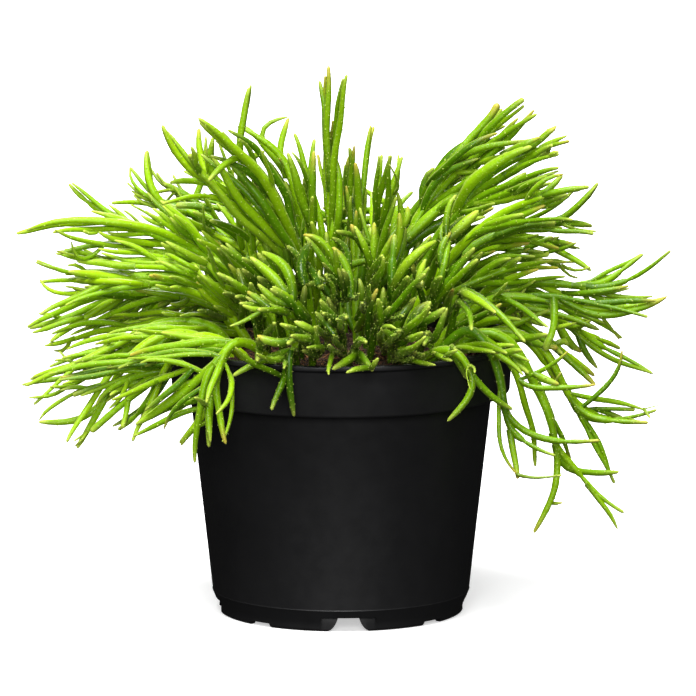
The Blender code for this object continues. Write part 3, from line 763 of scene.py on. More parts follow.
# shoots that show in the photo, in its pixels: where each leaves the mass, a point half-way if it bends, and
# its tip; then its width there, and its look: bright, middling, dark, pale or orange-tipped, blunt in
# capitals. Each springs from the nearest stem of the named regions, and its depth is that of its
# neighbours. A pixel is 0.339 mm in the plane of the pot's axis.
# the bright look is partly a painted lit skin, and the dark look partly painted shade
seenShoots = {
    "front": [
        (340, 308, 327, 276, 5, "b"), (338, 322, 322, 299, 6, "b"), (323, 326, 322, 309, 5.5, "b"),
        (330, 339, 329, 318, 5.5, "b"), (344, 331, 338, 319, 5, "b"), (319, 326, 297, 306, 274, 286, 9, "b"),
        (319, 332, 294, 322, 8, "b"), (332, 345, 316, 328, 6, "b"), (320, 344, 305, 337, 292, 336, 8, "b"),
        (339, 351, 334, 334, 5.5, "b"), (340, 360, 329, 345, 6, "b"), (329, 358, 322, 349, 307, 347, 6, "b"),
        (325, 367, 312, 362, 298, 352, 8, "b"), (329, 355, 330, 373, 5, "b"),
        (320, 345, 298, 333, 278, 323, 8, "b"), (290, 344, 272, 342, 257, 334, 9, "o"),
        (280, 322, 252, 330, 8, "d"), (296, 358, 275, 360, 258, 355, 7, "b"), (285, 360, 284, 369, 5, "m"),
        (275, 374, 256, 362, 236, 347, 6, "b"), (298, 362, 298, 388, 294, 413, 7, "b"),
        (267, 315, 248, 318, 230, 324, 4.5, "b"), (272, 315, 244, 304, 6, "b"), (287, 313, 258, 304, 8, "p"),
        (269, 306, 246, 293, 7, "o"), (290, 307, 272, 299, 256, 284, 8, "b"),
        (292, 292, 272, 276, 250, 257, 11, "b"), (294, 300, 287, 272, 262, 251, 10, "b"),
        (258, 300, 225, 275, 8, "b"), (319, 286, 319, 271, 5, "d"), (318, 286, 303, 283, 5, "d"),
        (318, 290, 323, 285, 4.5, "d"), (375, 290, 380, 274, 383, 258, 8, "b"),
        (357, 304, 368, 299, 371, 285, 5.5, "b"), (347, 302, 358, 294, 5, "m"), (362, 312, 364, 302, 5, "d"),
        (369, 333, 377, 319, 380, 301, 9, "b"), (387, 322, 387, 307, 5.5, "b"),
        (388, 321, 404, 317, 4.5, "m"), (383, 323, 396, 329, 4.3, "b"),
        (392, 310, 405, 300, 409, 277, 9, "b"), (412, 288, 430, 267, 5.5, "m"), (416, 281, 425, 261, 6, "p"),
        (374, 300, 402, 277, 430, 236, 10, "b"), (429, 292, 440, 277, 7, "m"),
        (411, 304, 442, 285, 475, 249, 10, "o"), (420, 291, 422, 280, 5, "d"), (407, 322, 429, 303, 10, "d"),
        (397, 344, 414, 325, 430, 308, 8, "b"), (418, 327, 444, 306, 9, "m"), (378, 352, 382, 327, 7, "b"),
        (384, 347, 400, 330, 6.5, "b"), (408, 341, 424, 331, 7.5, "b"),
        (389, 353, 408, 351, 424, 337, 8.5, "b"), (389, 361, 412, 359, 434, 351, 6.5, "b"),
        (412, 358, 423, 354, 5, "b"), (390, 361, 415, 359, 5.5, "b"), (409, 360, 434, 366, 5, "b"),
        (434, 355, 453, 360, 6, "b"), (444, 357, 457, 349, 5, "m"), (368, 373, 377, 359, 6, "b"),
        (368, 373, 358, 369, 345, 374, 6, "b"), (352, 354, 368, 370, 9, "d"), (448, 343, 456, 349, 4.3, "m"),
        (372, 258, 351, 226, 9, "o"), (359, 240, 356, 227, 5, "o"), (345, 275, 326, 247, 305, 236, 7, "o"),
        (304, 287, 301, 262, 310, 241, 10, "d"), (350, 292, 347, 265, 334, 247, 9, "o"),
        (375, 278, 391, 235, 6.5, "b"), (388, 287, 412, 259, 436, 242, 9, "p"), (433, 265, 449, 231, 8, "o"),
        (438, 230, 458, 196, 7, "b"), (432, 240, 452, 215, 5, "b"), (452, 236, 477, 210, 11, "p"),
        (452, 277, 472, 297, 496, 312, 9, "p"),
    ],
    "centre left right": [
        (400, 290, 418, 240, 7, "d"), (366, 322, 361, 280, 8, "d"), (372, 318, 368, 284, 7, "d"),
        (313, 226, 300, 190, 289, 152, 9, "m"), (308, 192, 303, 172, 290, 153, 4.5, "m"),
        (318, 250, 312, 200, 312, 153, 9, "m"), (345, 250, 340, 190, 331, 153, 8, "b"),
        (348, 215, 353, 146, 6, "m"), (347, 210, 348, 155, 8, "d"), (363, 238, 360, 200, 355, 163, 8.5, "b"),
        (365, 205, 366, 170, 372, 126, 6, "m"), (372, 203, 379, 180, 383, 154, 5.5, "b"),
        (381, 240, 388, 190, 388, 154, 6, "m"), (379, 222, 395, 187, 399, 156, 5.5, "m"),
        (408, 200, 390, 163, 3.4, "p"), (351, 226, 348, 187, 5.5, "o"), (350, 232, 352, 195, 5.5, "b"),
        (360, 238, 367, 190, 8, "p"), (376, 262, 378, 228, 376, 194, 8.5, "b"),
        (369, 240, 371, 228, 6.5, "b"), (385, 282, 394, 248, 398, 213, 8.5, "b"),
        (396, 262, 401, 224, 398, 192, 7, "b"), (406, 232, 408, 205, 7, "m"), (421, 230, 422, 206, 6, "m"),
        (399, 248, 408, 239, 7, "d"), (335, 255, 334, 150, 342, 80, 7.5, "b"),
        (327, 240, 327, 150, 327, 74, 7, "m"), (310, 300, 290, 240, 8, "d"), (345, 300, 350, 228, 8, "d"),
        (360, 300, 366, 228, 8, "d"), (400, 290, 425, 228, 8, "d"), (415, 285, 445, 224, 8, "d"),
        (385, 290, 405, 228, 8, "d"), (330, 300, 325, 232, 8, "d"), (282, 295, 262, 236, 8, "d"),
        (292, 290, 275, 232, 8, "d"), (292, 285, 284, 240, 7, "d"), (296, 280, 290, 236, 7, "d"),
        (414, 192, 433, 168, 7, "d"), (382, 252, 388, 224, 5, "d"), (264, 200, 254, 182, 6, "d"),
        (322, 330, 326, 285, 8, "d"), (345, 330, 349, 290, 8, "d"), (378, 330, 382, 288, 8, "d"),
        (335, 335, 338, 295, 8, "d"), (365, 332, 366, 292, 8, "d"), (308, 320, 306, 282, 7, "d"),
    ],
    "left centre": [
        (262, 300, 212, 240, 9, "d"), (255, 290, 203, 232, 8, "m"), (245, 290, 218, 250, 8, "d"),
        (300, 258, 262, 178, 199, 120, 9.5, "b"), (303, 236, 284, 163, 238, 126, 8, "m"),
        (292, 217, 255, 178, 212, 156, 7.5, "d"), (282, 255, 222, 197, 166, 130, 8, "p"),
        (180, 161, 169, 145, 4.5, "p"), (201, 172, 188, 154, 7, "D"), (204, 172, 200, 127, 5, "p"),
        (211, 178, 212, 138, 4.5, "p"), (233, 149, 223, 133, 7, "m"), (236, 152, 251, 86, 5.5, "b"),
        (258, 160, 264, 128, 286, 117, 5, "p"), (277, 200, 261, 151, 4.5, "m"), (285, 172, 281, 158, 4, "m"),
        (241, 250, 237, 213, 7.5, "o"), (258, 254, 246, 213, 5.5, "o"), (244, 205, 240, 170, 7, "p"),
        (285, 246, 250, 211, 212, 158, 10, "m"), (205, 234, 172, 184, 3.6, "m"),
        (222, 228, 204, 196, 5, "m"), (207, 240, 203, 206, 4, "m"), (216, 207, 174, 204, 7.5, "D"),
    ],
    "left": [
        (246, 290, 200, 266, 8, "d"), (240, 300, 196, 276, 8, "m"), (240, 268, 198, 238, 8, "m"),
        (262, 322, 226, 300, 8, "d"), (250, 312, 222, 290, 8, "d"), (243, 328, 240, 296, 8, "d"),
        (252, 326, 232, 292, 7, "d"), (208, 250, 110, 222, 26, 231, 8, "b"),
        (144, 231, 103, 207, 71, 183, 5.5, "b"), (160, 236, 118, 220, 91, 211, 6.5, "b"),
        (134, 225, 107, 204, 4.3, "p"), (201, 241, 147, 197, 129, 167, 5, "b"),
        (206, 246, 160, 200, 145, 150, 9, "b"), (144, 198, 128, 183, 4, "p"), (150, 202, 131, 191, 4.3, "p"),
        (160, 213, 135, 197, 4.3, "p"), (172, 230, 132, 203, 4, "p"), (160, 226, 141, 216, 4.3, "p"),
        (214, 254, 185, 225, 160, 201, 8, "b"), (218, 262, 188, 230, 166, 204, 8, "m"),
        (205, 262, 175, 232, 148, 214, 7, "m"), (142, 256, 100, 246, 55, 230, 5.5, "p"),
        (102, 237, 84, 231, 4.3, "B"), (165, 262, 128, 242, 98, 232, 7, "b"),
        (101, 260, 82, 258, 72, 242, 4.3, "m"), (84, 258, 57, 252, 4, "m"), (64, 273, 37, 261, 4, "p"),
        (150, 277, 108, 273, 65, 272, 6, "B"), (150, 282, 110, 279, 70, 280, 7, "B"),
        (87, 266, 68, 265, 4.3, "m"), (105, 294, 62, 293, 39, 280, 5, "m"), (84, 289, 66, 287, 4, "m"),
        (209, 262, 187, 256, 162, 243, 7.5, "p"), (188, 256, 168, 240, 5, "b"),
        (200, 288, 175, 279, 150, 274, 8, "o"), (200, 279, 178, 269, 156, 263, 7, "b"),
        (226, 302, 207, 282, 195, 264, 7, "b"), (226, 312, 210, 300, 198, 281, 6.5, "o"),
        (226, 286, 214, 264, 207, 246, 4.5, "b"), (226, 309, 180, 297, 135, 291, 7, "b"),
        (216, 303, 120, 294, 29, 329, 8.5, "m"), (190, 286, 125, 287, 66, 306, 6, "m"),
        (60, 316, 38, 314, 4.3, "p"), (182, 298, 130, 305, 84, 329, 6.5, "m"), (200, 293, 156, 284, 6, "b"),
        (187, 304, 171, 303, 5.5, "b"), (226, 320, 195, 318, 163, 313, 6.5, "b"),
        (212, 316, 180, 316, 5, "b"), (112, 321, 71, 334, 4.3, "m"), (180, 330, 120, 328, 48, 344, 6.5, "b"),
        (74, 349, 53, 350, 4.3, "p"), (74, 359, 55, 361, 4, "p"), (66, 357, 59, 352, 3.4, "m"),
        (178, 346, 105, 359, 29, 379, 7.5, "m"), (160, 360, 90, 371, 22, 386, 6.5, "m"),
        (99, 380, 50, 386, 5, "m"), (100, 385, 73, 394, 7.5, "D"), (73, 392, 31, 399, 4.3, "p"),
        (72, 394, 52, 407, 39, 421, 4.3, "p"), (160, 369, 120, 383, 98, 403, 7, "m"),
        (131, 387, 108, 410, 5, "m"), (160, 376, 124, 403, 91, 431, 7.5, "B"), (90, 432, 76, 447, 4, "p"),
        (89, 432, 74, 440, 3.4, "p"), (130, 400, 121, 428, 6, "B"), (178, 379, 144, 407, 114, 427, 6, "d"),
        (153, 391, 144, 418, 5, "m"), (216, 363, 178, 395, 134, 425, 10, "b"),
        (207, 408, 170, 417, 132, 436, 6, "m"), (207, 421, 193, 429, 181, 444, 5, "m"),
        (208, 405, 209, 444, 6.5, "b"), (207, 404, 195, 400, 5, "p"), (222, 358, 208, 404, 7.5, "b"),
        (243, 368, 234, 400, 223, 441, 4.5, "b"), (245, 368, 215, 414, 5.5, "b"),
        (200, 370, 165, 359, 141, 362, 5.5, "b"), (178, 341, 152, 331, 132, 330, 4.3, "p"),
        (236, 335, 190, 330, 151, 325, 9, "o"), (235, 349, 165, 345, 103, 352, 6, "b"),
        (235, 352, 160, 352, 95, 362, 6, "m"), (215, 341, 165, 344, 112, 345, 5.5, "m"),
        (220, 357, 180, 352, 120, 368, 6, "m"), (150, 372, 120, 371, 88, 378, 5, "m"),
        (205, 270, 160, 262, 112, 258, 6, "b"), (208, 264, 165, 256, 118, 249, 6, "m"),
        (200, 272, 150, 268, 108, 264, 5.5, "m"), (195, 258, 150, 250, 105, 243, 5, "m"),
        (185, 268, 140, 262, 100, 254, 5.5, "b"), (150, 335, 100, 338, 66, 350, 6, "b"),
        (160, 340, 110, 346, 62, 358, 6, "m"), (150, 345, 95, 352, 50, 366, 6.5, "b"),
        (170, 352, 110, 362, 48, 372, 6, "b"), (205, 322, 160, 320, 118, 326, 6, "b"),
        (200, 328, 150, 326, 108, 334, 6, "m"), (210, 333, 165, 333, 122, 338, 6, "b"),
        (190, 316, 150, 314, 110, 318, 5.5, "m"), (185, 360, 130, 366, 84, 378, 6, "m"),
        (180, 368, 125, 380, 82, 396, 6, "m"), (190, 372, 150, 385, 112, 400, 6, "b"),
        (195, 378, 165, 395, 140, 418, 6, "m"), (200, 385, 180, 405, 165, 428, 5, "d"),
        (225, 318, 198, 310, 6, "d"), (240, 300, 224, 292, 6, "d"), (222, 282, 202, 258, 6, "m"),
        (150, 283, 68, 271, 9, "b"), (150, 290, 68, 279, 9, "m"), (146, 297, 72, 288, 8, "d"),
        (135, 268, 76, 262, 8, "b"), (84, 317, 31, 331, 6, "m"), (126, 300, 86, 318, 6, "m"),
        (170, 342, 136, 356, 7, "d"), (164, 362, 128, 374, 6, "d"), (158, 372, 126, 392, 6, "m"),
        (150, 237, 108, 231, 5, "m"), (142, 254, 100, 249, 5, "m"), (74, 340, 44, 347, 5, "m"),
        (198, 164, 190, 148, 6, "m"), (236, 338, 152, 326, 11, "o"), (232, 345, 190, 340, 134, 333, 8, "m"),
        (222, 352, 180, 344, 120, 352, 7, "b"), (205, 265, 166, 241, 7, "p"), (195, 276, 157, 262, 6, "b"),
        (200, 290, 153, 275, 8, "o"),
    ],
    "left over the lip": [
        (238, 338, 151, 326, 11, "o"), (238, 334, 190, 322, 140, 330, 7, "b"), (232, 346, 160, 345, 8, "m"),
        (236, 342, 185, 343, 128, 356, 8, "m"), (226, 352, 180, 350, 130, 362, 7, "d"),
        (222, 345, 172, 336, 6, "d"),
    ],
    "right centre": [
        (480, 228, 545, 206, 8, "m"), (470, 205, 530, 184, 8, "m"), (404, 207, 452, 161, 536, 139, 7.5, "b"),
        (450, 166, 479, 130, 498, 103, 9, "B"), (468, 155, 492, 126, 524, 100, 7.5, "B"),
        (482, 171, 508, 138, 535, 110, 7, "b"), (536, 139, 556, 127, 5, "p"), (540, 146, 567, 136, 5, "p"),
        (477, 156, 487, 144, 6, "D"), (450, 213, 500, 178, 550, 150, 10, "B"),
        (549, 153, 559, 152, 4.3, "p"), (547, 150, 554, 148, 4, "p"), (493, 167, 512, 150, 6, "b"),
        (445, 205, 485, 172, 532, 148, 11, "b"), (504, 194, 530, 175, 557, 166, 6.5, "m"),
        (510, 194, 530, 182, 559, 171, 5.5, "d"), (520, 196, 540, 184, 561, 175, 5, "m"),
        (478, 209, 525, 195, 564, 191, 9.5, "P"), (566, 192, 586, 188, 4.3, "p"),
        (478, 216, 525, 206, 567, 194, 9, "m"), (478, 228, 498, 221, 516, 215, 8, "m"),
        (484, 233, 516, 223, 4.5, "m"), (488, 235, 525, 227, 557, 223, 8, "D"),
        (557, 222, 578, 205, 597, 185, 4.8, "b"), (560, 224, 591, 224, 4.3, "b"),
        (560, 224, 578, 230, 596, 232, 4, "b"), (454, 172, 481, 171, 4.5, "p"), (447, 194, 481, 177, 7, "d"),
        (410, 212, 440, 180, 478, 158, 7, "d"), (402, 235, 432, 215, 470, 182, 11, "m"),
        (404, 248, 440, 222, 490, 196, 11, "m"),
    ],
    "right": [
        (420, 290, 445, 250, 8, "d"), (450, 290, 478, 256, 8, "d"), (470, 290, 540, 270, 7, "m"),
        (420, 330, 440, 300, 8, "d"), (455, 290, 482, 252, 8, "d"), (449, 324, 446, 284, 8, "d"),
        (440, 322, 452, 288, 8, "d"), (438, 300, 462, 270, 8, "d"), (525, 249, 554, 239, 6, "D"),
        (554, 239, 559, 237, 4, "m"), (555, 240, 578, 247, 4, "m"), (541, 260, 560, 249, 575, 241, 4.3, "m"),
        (498, 243, 537, 236, 5, "m"), (500, 254, 531, 247, 4.5, "m"), (505, 264, 541, 260, 5, "D"),
        (542, 261, 576, 262, 4, "m"), (543, 263, 571, 266, 4.3, "m"), (561, 273, 591, 269, 4, "p"),
        (558, 271, 579, 277, 4, "m"), (493, 276, 520, 257, 8, "b"), (493, 303, 509, 281, 4.5, "b"),
        (502, 297, 537, 281, 4.5, "b"), (500, 319, 517, 306, 524, 292, 6, "b"),
        (532, 296, 600, 287, 674, 250, 6.5, "b"), (582, 281, 613, 270, 641, 254, 4.8, "b"),
        (589, 288, 615, 295, 652, 295, 5, "p"), (560, 295, 612, 314, 666, 295, 7.5, "b"),
        (583, 297, 612, 303, 656, 301, 6.5, "d"), (598, 313, 621, 337, 4, "m"),
        (580, 289, 593, 306, 5.5, "m"), (572, 310, 609, 323, 4.3, "m"), (562, 335, 591, 321, 6, "m"),
        (555, 296, 553, 325, 545, 351, 8.5, "B"), (555, 329, 575, 322, 5, "p"),
        (430, 343, 500, 329, 550, 311, 8.5, "b"), (484, 337, 515, 337, 547, 333, 8.5, "b"),
        (515, 340, 535, 343, 556, 346, 6, "D"), (495, 294, 522, 308, 548, 326, 6, "d"),
        (566, 336, 605, 354, 653, 373, 5.5, "b"), (576, 336, 596, 370, 6.5, "d"),
        (578, 409, 609, 381, 621, 350, 5, "m"), (578, 409, 597, 441, 613, 483, 5, "b"),
        (568, 393, 605, 400, 644, 409, 5.5, "m"), (644, 409, 659, 405, 1.6, "p"),
        (643, 410, 651, 418, 4, "m"), (590, 406, 636, 411, 4.5, "D"), (595, 409, 624, 417, 5.5, "D"),
        (624, 417, 639, 420, 1.6, "p"), (517, 380, 545, 389, 595, 384, 6, "b"), (553, 384, 562, 372, 4, "m"),
        (520, 379, 546, 367, 566, 352, 4.5, "b"), (583, 486, 603, 506, 617, 530, 5, "b"),
        (547, 496, 550, 503, 562, 502, 4.3, "m"), (497, 385, 499, 435, 516, 474, 4.5, "b"),
        (516, 474, 536, 478, 563, 477, 4, "m"), (473, 362, 476, 374, 4, "m"), (490, 357, 524, 350, 7.5, "b"),
        (560, 337, 568, 346, 7, "b"), (440, 290, 500, 262, 548, 254, 8, "b"),
        (445, 285, 490, 262, 535, 256, 7, "m"), (450, 295, 505, 272, 560, 268, 7, "m"),
        (455, 275, 500, 256, 540, 250, 6, "d"), (450, 268, 490, 250, 528, 244, 7, "m"),
        (460, 285, 515, 268, 552, 262, 6, "b"), (470, 290, 520, 280, 565, 277, 6, "m"),
        (445, 260, 485, 246, 520, 240, 7, "d"), (440, 335, 480, 322, 520, 318, 8, "b"),
        (450, 345, 490, 336, 528, 334, 7, "b"), (455, 352, 485, 345, 515, 345, 7, "m"),
        (430, 350, 470, 345, 505, 352, 7.5, "b"), (445, 330, 475, 318, 500, 304, 7, "d"),
        (460, 350, 490, 352, 512, 362, 7, "b"), (470, 345, 500, 350, 530, 362, 6.5, "m"),
        (440, 322, 470, 308, 498, 296, 8, "b"), (450, 312, 480, 300, 510, 290, 7, "m"),
        (480, 352, 505, 360, 522, 376, 6, "m"), (464, 214, 494, 205, 6, "d"), (508, 150, 542, 137, 7, "m"),
        (478, 165, 508, 151, 6, "m"), (552, 328, 584, 350, 9, "m"), (534, 374, 558, 385, 8, "m"),
        (538, 287, 570, 294, 6, "m"), (468, 263, 494, 250, 5, "d"), (508, 356, 528, 372, 7, "m"),
        (476, 361, 466, 371, 469, 391, 1.8, "p"),
    ],
}
seenRule = dict(seed=3, tries=22, pixel=0.339, centre=348, widthShare=0.53, taper=0.5, bluntTaper=0.85,
                least=-0.9, farthest=34, thinUnder=4.2, thickOver=5, give=0.35, middleShare=0.7,
                potClearance=0.05, freeSamples=3, freeShare=0.4, press=0.3, ownPress=0.6,
                inside=((340, 300), (300, 230), 0.5), nearer=-12)
carrierRule = dict(samples=4, nearTip=0.96, tipCost=6, reachCost=0.4, depthCost=0.1)
# how far in front of the pot's axis shoots at the front, and those that hang over the lip, end: pixels down
# the photo, and millimetres of depth there
frontDepth = ((225, 236, 252, 289, 314, 343, 372, 420), (-24, -30, -40, -63, -72, -82, -76, -68))
lowDepth = ((320, 365), (-30, -42))
# shoots between two neighbours of the table, cut short and a little behind them; reach, least, avoid and open
# are in pixels, and no such shoot ends in an open circle of (across, down, radius), where the photo is white
# a share of them has the dark look: painted shade between the bright shoots
fillRule = dict(seed=17, counts={"front": 18, "centre left right": 26, "left centre": 24, "left": 90,
                                 "right centre": 34, "right": 34},
                turn=28, reach=60, least=28, nearest=3, share=(0.25, 0.75), cut=(0.55, 0.92),
                width=(0.8, 1.05), dark={"front": 0.7}, otherDark=0.3, behind={"front": (4, 18)},
                otherBehind=(-3, 12), avoid=(520, 305),
                open=[(164, 394, 17), (300, 150, 13), (536, 252, 18), (532, 362, 32), (545, 216, 14),
                      (412, 175, 15), (198, 184, 22), (268, 132, 26), (90, 418, 20), (600, 342, 26),
                      (216, 398, 26)])


def readRow(row):
    # tail, middle and tip of a row of the table, its width and its look
    *numbers, width, look = row
    tail, *between, tip = np.reshape(numbers, (-1, 2)).astype(float)
    return tail, between[0] if between else (tail + tip) / 2, tip, width, look


def photoPlace(u, v, depth):
    # the place in millimetres, at a depth behind the plane of the pot's axis, that shows at a pixel
    across = (u - seenRule["centre"]) * seenRule["pixel"]
    up = (seenRule["centre"] - v) * seenRule["pixel"]
    beyond = (depth - up * math.sin(cameraTilt)) / math.cos(cameraTilt)
    scale = (cameraAway + beyond) / cameraAway
    x = view["target"][0] + across * scale
    y = up * scale * math.sin(cameraTilt) + beyond * math.cos(cameraTilt)
    z = view["target"][2] + up * scale * math.cos(cameraTilt) - beyond * math.sin(cameraTilt)
    return np.array([x, y, z])


def photoPixel(places):
    apart = places - np.array(view["target"])
    beyond = apart[..., 1] * math.cos(cameraTilt) - apart[..., 2] * math.sin(cameraTilt)
    up = apart[..., 1] * math.sin(cameraTilt) + apart[..., 2] * math.cos(cameraTilt)
    scale = cameraAway / (cameraAway + beyond) / seenRule["pixel"]
    return np.stack([seenRule["centre"] + apart[..., 0] * scale, seenRule["centre"] - up * scale], -1)


def note(stem, lines):
    # points along a stem, and where they show
    shares = np.linspace(0, 1, carrierRule["samples"] * (len(stem.line) - stem.rooted))
    fine = np.array([stem.point(share) for share in shares])
    lines[stem.spray].append((stem, shares, fine, photoPixel(fine)))


def carrierOf(region, tail, tip, thick, lines):
    # the stem that shows nearest to a shoot's tail, in a spray that also reaches towards its tip
    best = None
    for name, known in lines.items():
        if plans[name]["region"] not in region.split():
            continue
        tipGaps = [np.linalg.norm(pixels - tip, axis=1) for _, _, _, pixels in known]
        nearest = int(np.argmin([gaps.min() for gaps in tipGaps]))
        toTip, tipDepth = tipGaps[nearest].min(), known[nearest][2][tipGaps[nearest].argmin()][1]
        for stem, shares, fine, pixels in known:
            atTip = carrierRule["tipCost"] * (shares > carrierRule["nearTip"]) * thick
            away = np.linalg.norm(pixels - tail, axis=1) + atTip
            pick = away.argmin()
            cost = (away[pick] + carrierRule["reachCost"] * toTip
                    + carrierRule["depthCost"] * abs(fine[pick][1] - tipDepth))
            if best is None or cost < best[0]:
                best = (cost, stem, fine[pick], tipDepth, away[pick])
    return best[1:]


def growShown(region, row, behind, lines, crowd, draw):
    tail, middle, tip, width, look = row
    carrier, start, tipDepth, away = carrierOf(region, tail, tip, width > seenRule["thickOver"], lines)
    if away > seenRule["farthest"]:
        return None
    if region == "front":
        tipDepth = np.interp(tip[1], *frontDepth)
    elif region == "left over the lip":
        tipDepth = np.interp(tip[1], *lowDepth)
    radius = width * seenRule["pixel"] * seenRule["widthShare"]
    taper = seenRule["bluntTaper"] if look.isupper() else seenRule["taper"]
    kind = "twig" if width < seenRule["thinUnder"] else "seen"
    chosen, chosenGap = None, seenRule["least"]
    for attempt in range(seenRule["tries"]):
        give = seenRule["give"] * attempt
        end = photoPlace(*tip, tipDepth + behind + draw.normal() * give)
        across = photoPlace(*middle, (start[1] + end[1]) / 2 + draw.normal() * give * seenRule["middleShare"])
        bend = 2 * across - (start + end) / 2
        made = Stem(carrier.spray, (start, bend, end), (radius, radius * taper), extraRule["points"],
                    kind=kind, look=look)
        if not (inBox(made) and clearOfPot(made, seenRule["potClearance"])):
            continue
        spots = made.samples()
        free = spots[int(len(spots) * seenRule["freeShare"]):]
        gap = min(crowd.gap(made, spots[seenRule["freeSamples"]:], False) + seenRule["press"],
                  crowd.gap(made, free, True) + seenRule["ownPress"])
        if gap > chosenGap:
            chosen, chosenGap = made, gap
        if gap > 0:
            break
    if chosen:
        crowd.add(chosen)
        note(chosen, lines)
    return chosen


def neighbours(rows, row):
    # the rows whose tips show near, and which point the same way, nearest first
    tail, _, tip, _, _ = row
    reach = np.linalg.norm(tip - tail)
    near = []
    for other in rows:
        span = other[2] - other[0]
        length, apart = np.linalg.norm(span), np.linalg.norm(other[2] - tip)
        turn = np.degrees(np.arccos(np.clip((tip - tail) @ span / length / reach, -1, 1)))
        if (other is not row and length > fillRule["least"] and turn < fillRule["turn"]
                and apart < fillRule["reach"]):
            near.append((apart, other))
    return [other for _, other in sorted(near, key=lambda item: item[0])]


def fillRow(rows, region, draw):
    # mixes a row with one of its neighbours
    near = []
    while not near:
        row = rows[draw.integers(len(rows))]
        tail, middle, tip, width, _ = row
        if np.linalg.norm(tip - tail) >= fillRule["least"] and not (tip > fillRule["avoid"]).all():
            near = neighbours(rows, row)
    other = near[draw.integers(min(fillRule["nearest"], len(near)))]
    share = draw.uniform(*fillRule["share"])
    tail, middle, tip = [(1 - share) * a + share * b for a, b in zip(row[:3], other[:3])]
    cut = draw.uniform(*fillRule["cut"])
    bend = 2 * middle - (tail + tip) / 2
    middle, tip = [bent(tail, bend, tip, part) for part in (cut / 2, cut)]
    width = ((1 - share) * row[3] + share * other[3]) * draw.uniform(*fillRule["width"])
    look = "d" if draw.uniform() < fillRule["dark"].get(region, fillRule["otherDark"]) else "m"
    if any(math.hypot(tip[0] - u, tip[1] - v) < radius for u, v, radius in fillRule["open"]):
        return fillRow(rows, region, draw)
    return tail, middle, tip, width, look


def nearer(region, tip):
    # shoots at the sides whose tips show inside the plant's outline stand in front of the rest
    middle, spread, share = seenRule["inside"]
    reach = (((tip - middle) / spread) ** 2).sum()
    return seenRule["nearer"] if reach < share and region in ("left", "right", "left centre") else 0


def growSeen(tree, crowd):
    lines = {name: [] for name in plans}
    for stem in tree:
        note(stem, lines)
    table = {region: [readRow(row) for row in rows] for region, rows in seenShoots.items()}
    draw = np.random.default_rng(seenRule["seed"])
    grown = [growShown(region, row, nearer(region, row[2]), lines, crowd, draw)
             for region, rows in table.items() for row in rows]
    draw = np.random.default_rng(fillRule["seed"])
    filled = []
    for region, rows in table.items():
        for _ in range(fillRule["counts"].get(region, 0)):
            behind = draw.uniform(*fillRule["behind"].get(region, fillRule["otherBehind"]))
            filled.append(growShown(region, fillRow(rows, region, draw), behind, lines, crowd, draw))
    print("shoots seen in the photo:", sum(stem is not None for stem in grown), "of", len(grown),
          "and between them:", sum(stem is not None for stem in filled), "of", len(filled))
    tree += [stem for stem in grown + filled if stem]


# short shoots inside the plant, which fill its heart and hide the soil from above; their dark look is painted
# shade
inner = dict(seed=29, each={"front": 2, "centre": 8, "back": 4, "left": 4, "right": 4}, spring=(0.25, 0.75),
             length=(12, 28), radius=(1.15, 1.55), up=0.9, along=0.5, aside=0.6, swing=0.55, core=44, top=140)


def growInner(tree, crowd):
    draw = np.random.default_rng(inner["seed"])
    for stem in [one for one in tree if one.rooted]:
        for _ in range(inner["each"][plans[stem.spray]["region"]]):
            share = draw.uniform(*inner["spring"])
            start = stem.point(share)
            if math.hypot(*start[:2]) > inner["core"]:
                continue
            outward = unit(np.array([*start[:2], 0]) + (0, 0, 1e-6))
            heading = unit(stem.heading(share) * inner["along"]
                           + outward * draw.uniform(-inner["aside"], inner["aside"])
                           + np.array([0, 0, inner["up"]]) + draw.normal(0, inner["swing"], 3))
            tip = start + heading * draw.uniform(*inner["length"])
            if tip[2] > inner["top"]:
                continue
            radius = draw.uniform(*inner["radius"])
            made = extraShoot(stem, share, tip, radius, crowd, draw, kind="inner", look="d")
            if made:
                tree.append(made)
                crowd.add(made)


def startCrowd():
    crowd, tree = Crowd(), []
    for stem in placed:
        radii = (stem.radii[stem.rooted], stem.radii[-1])
        tree.append(Stem(stem.spray, stem.bend, radii, extraRule["points"], stem.foot))
        crowd.add(tree[-1])
    return tree, crowd


tree, crowd = startCrowd()
growSeen(tree, crowd)
growExtras(tree, crowd)
growInner(tree, crowd)
print("with the further shoots:", len(tree), seconds())


# twigs: thin shoots in ones, twos and threes from near the end of a thicker one
twigs = dict(seed=31, share={"right": 0.01, "back": 0.3}, most=3,
             bare=("right_drop", "right_trail", "right_hanger", "right_front"),
             radius=(0.6, 0.85), taper=0.7, points=6,
             length={"back": (5, 11)}, otherLength=(4, 9), spring=(0.55, 0.97), swing=(0.2, 0.6), tries=8,
             shorter=0.05, bend=0.3, clearance=0.0, ownClearance=-0.3, firstFree=0.5)


def twig(stem, share, radius, length, shorter, draw):
    heading = unit(stem.heading(share) + draw.normal(0, 1, 3) * draw.uniform(*twigs["swing"]))
    start = stem.point(share)
    end = start + heading * draw.uniform(*length) * shorter
    bend = start + unit(stem.heading(share)) * np.linalg.norm(end - start) * twigs["bend"]
    radii = (radius, radius * twigs["taper"])
    return Stem(stem.spray, (start, bend, end), radii, twigs["points"], kind="twig")


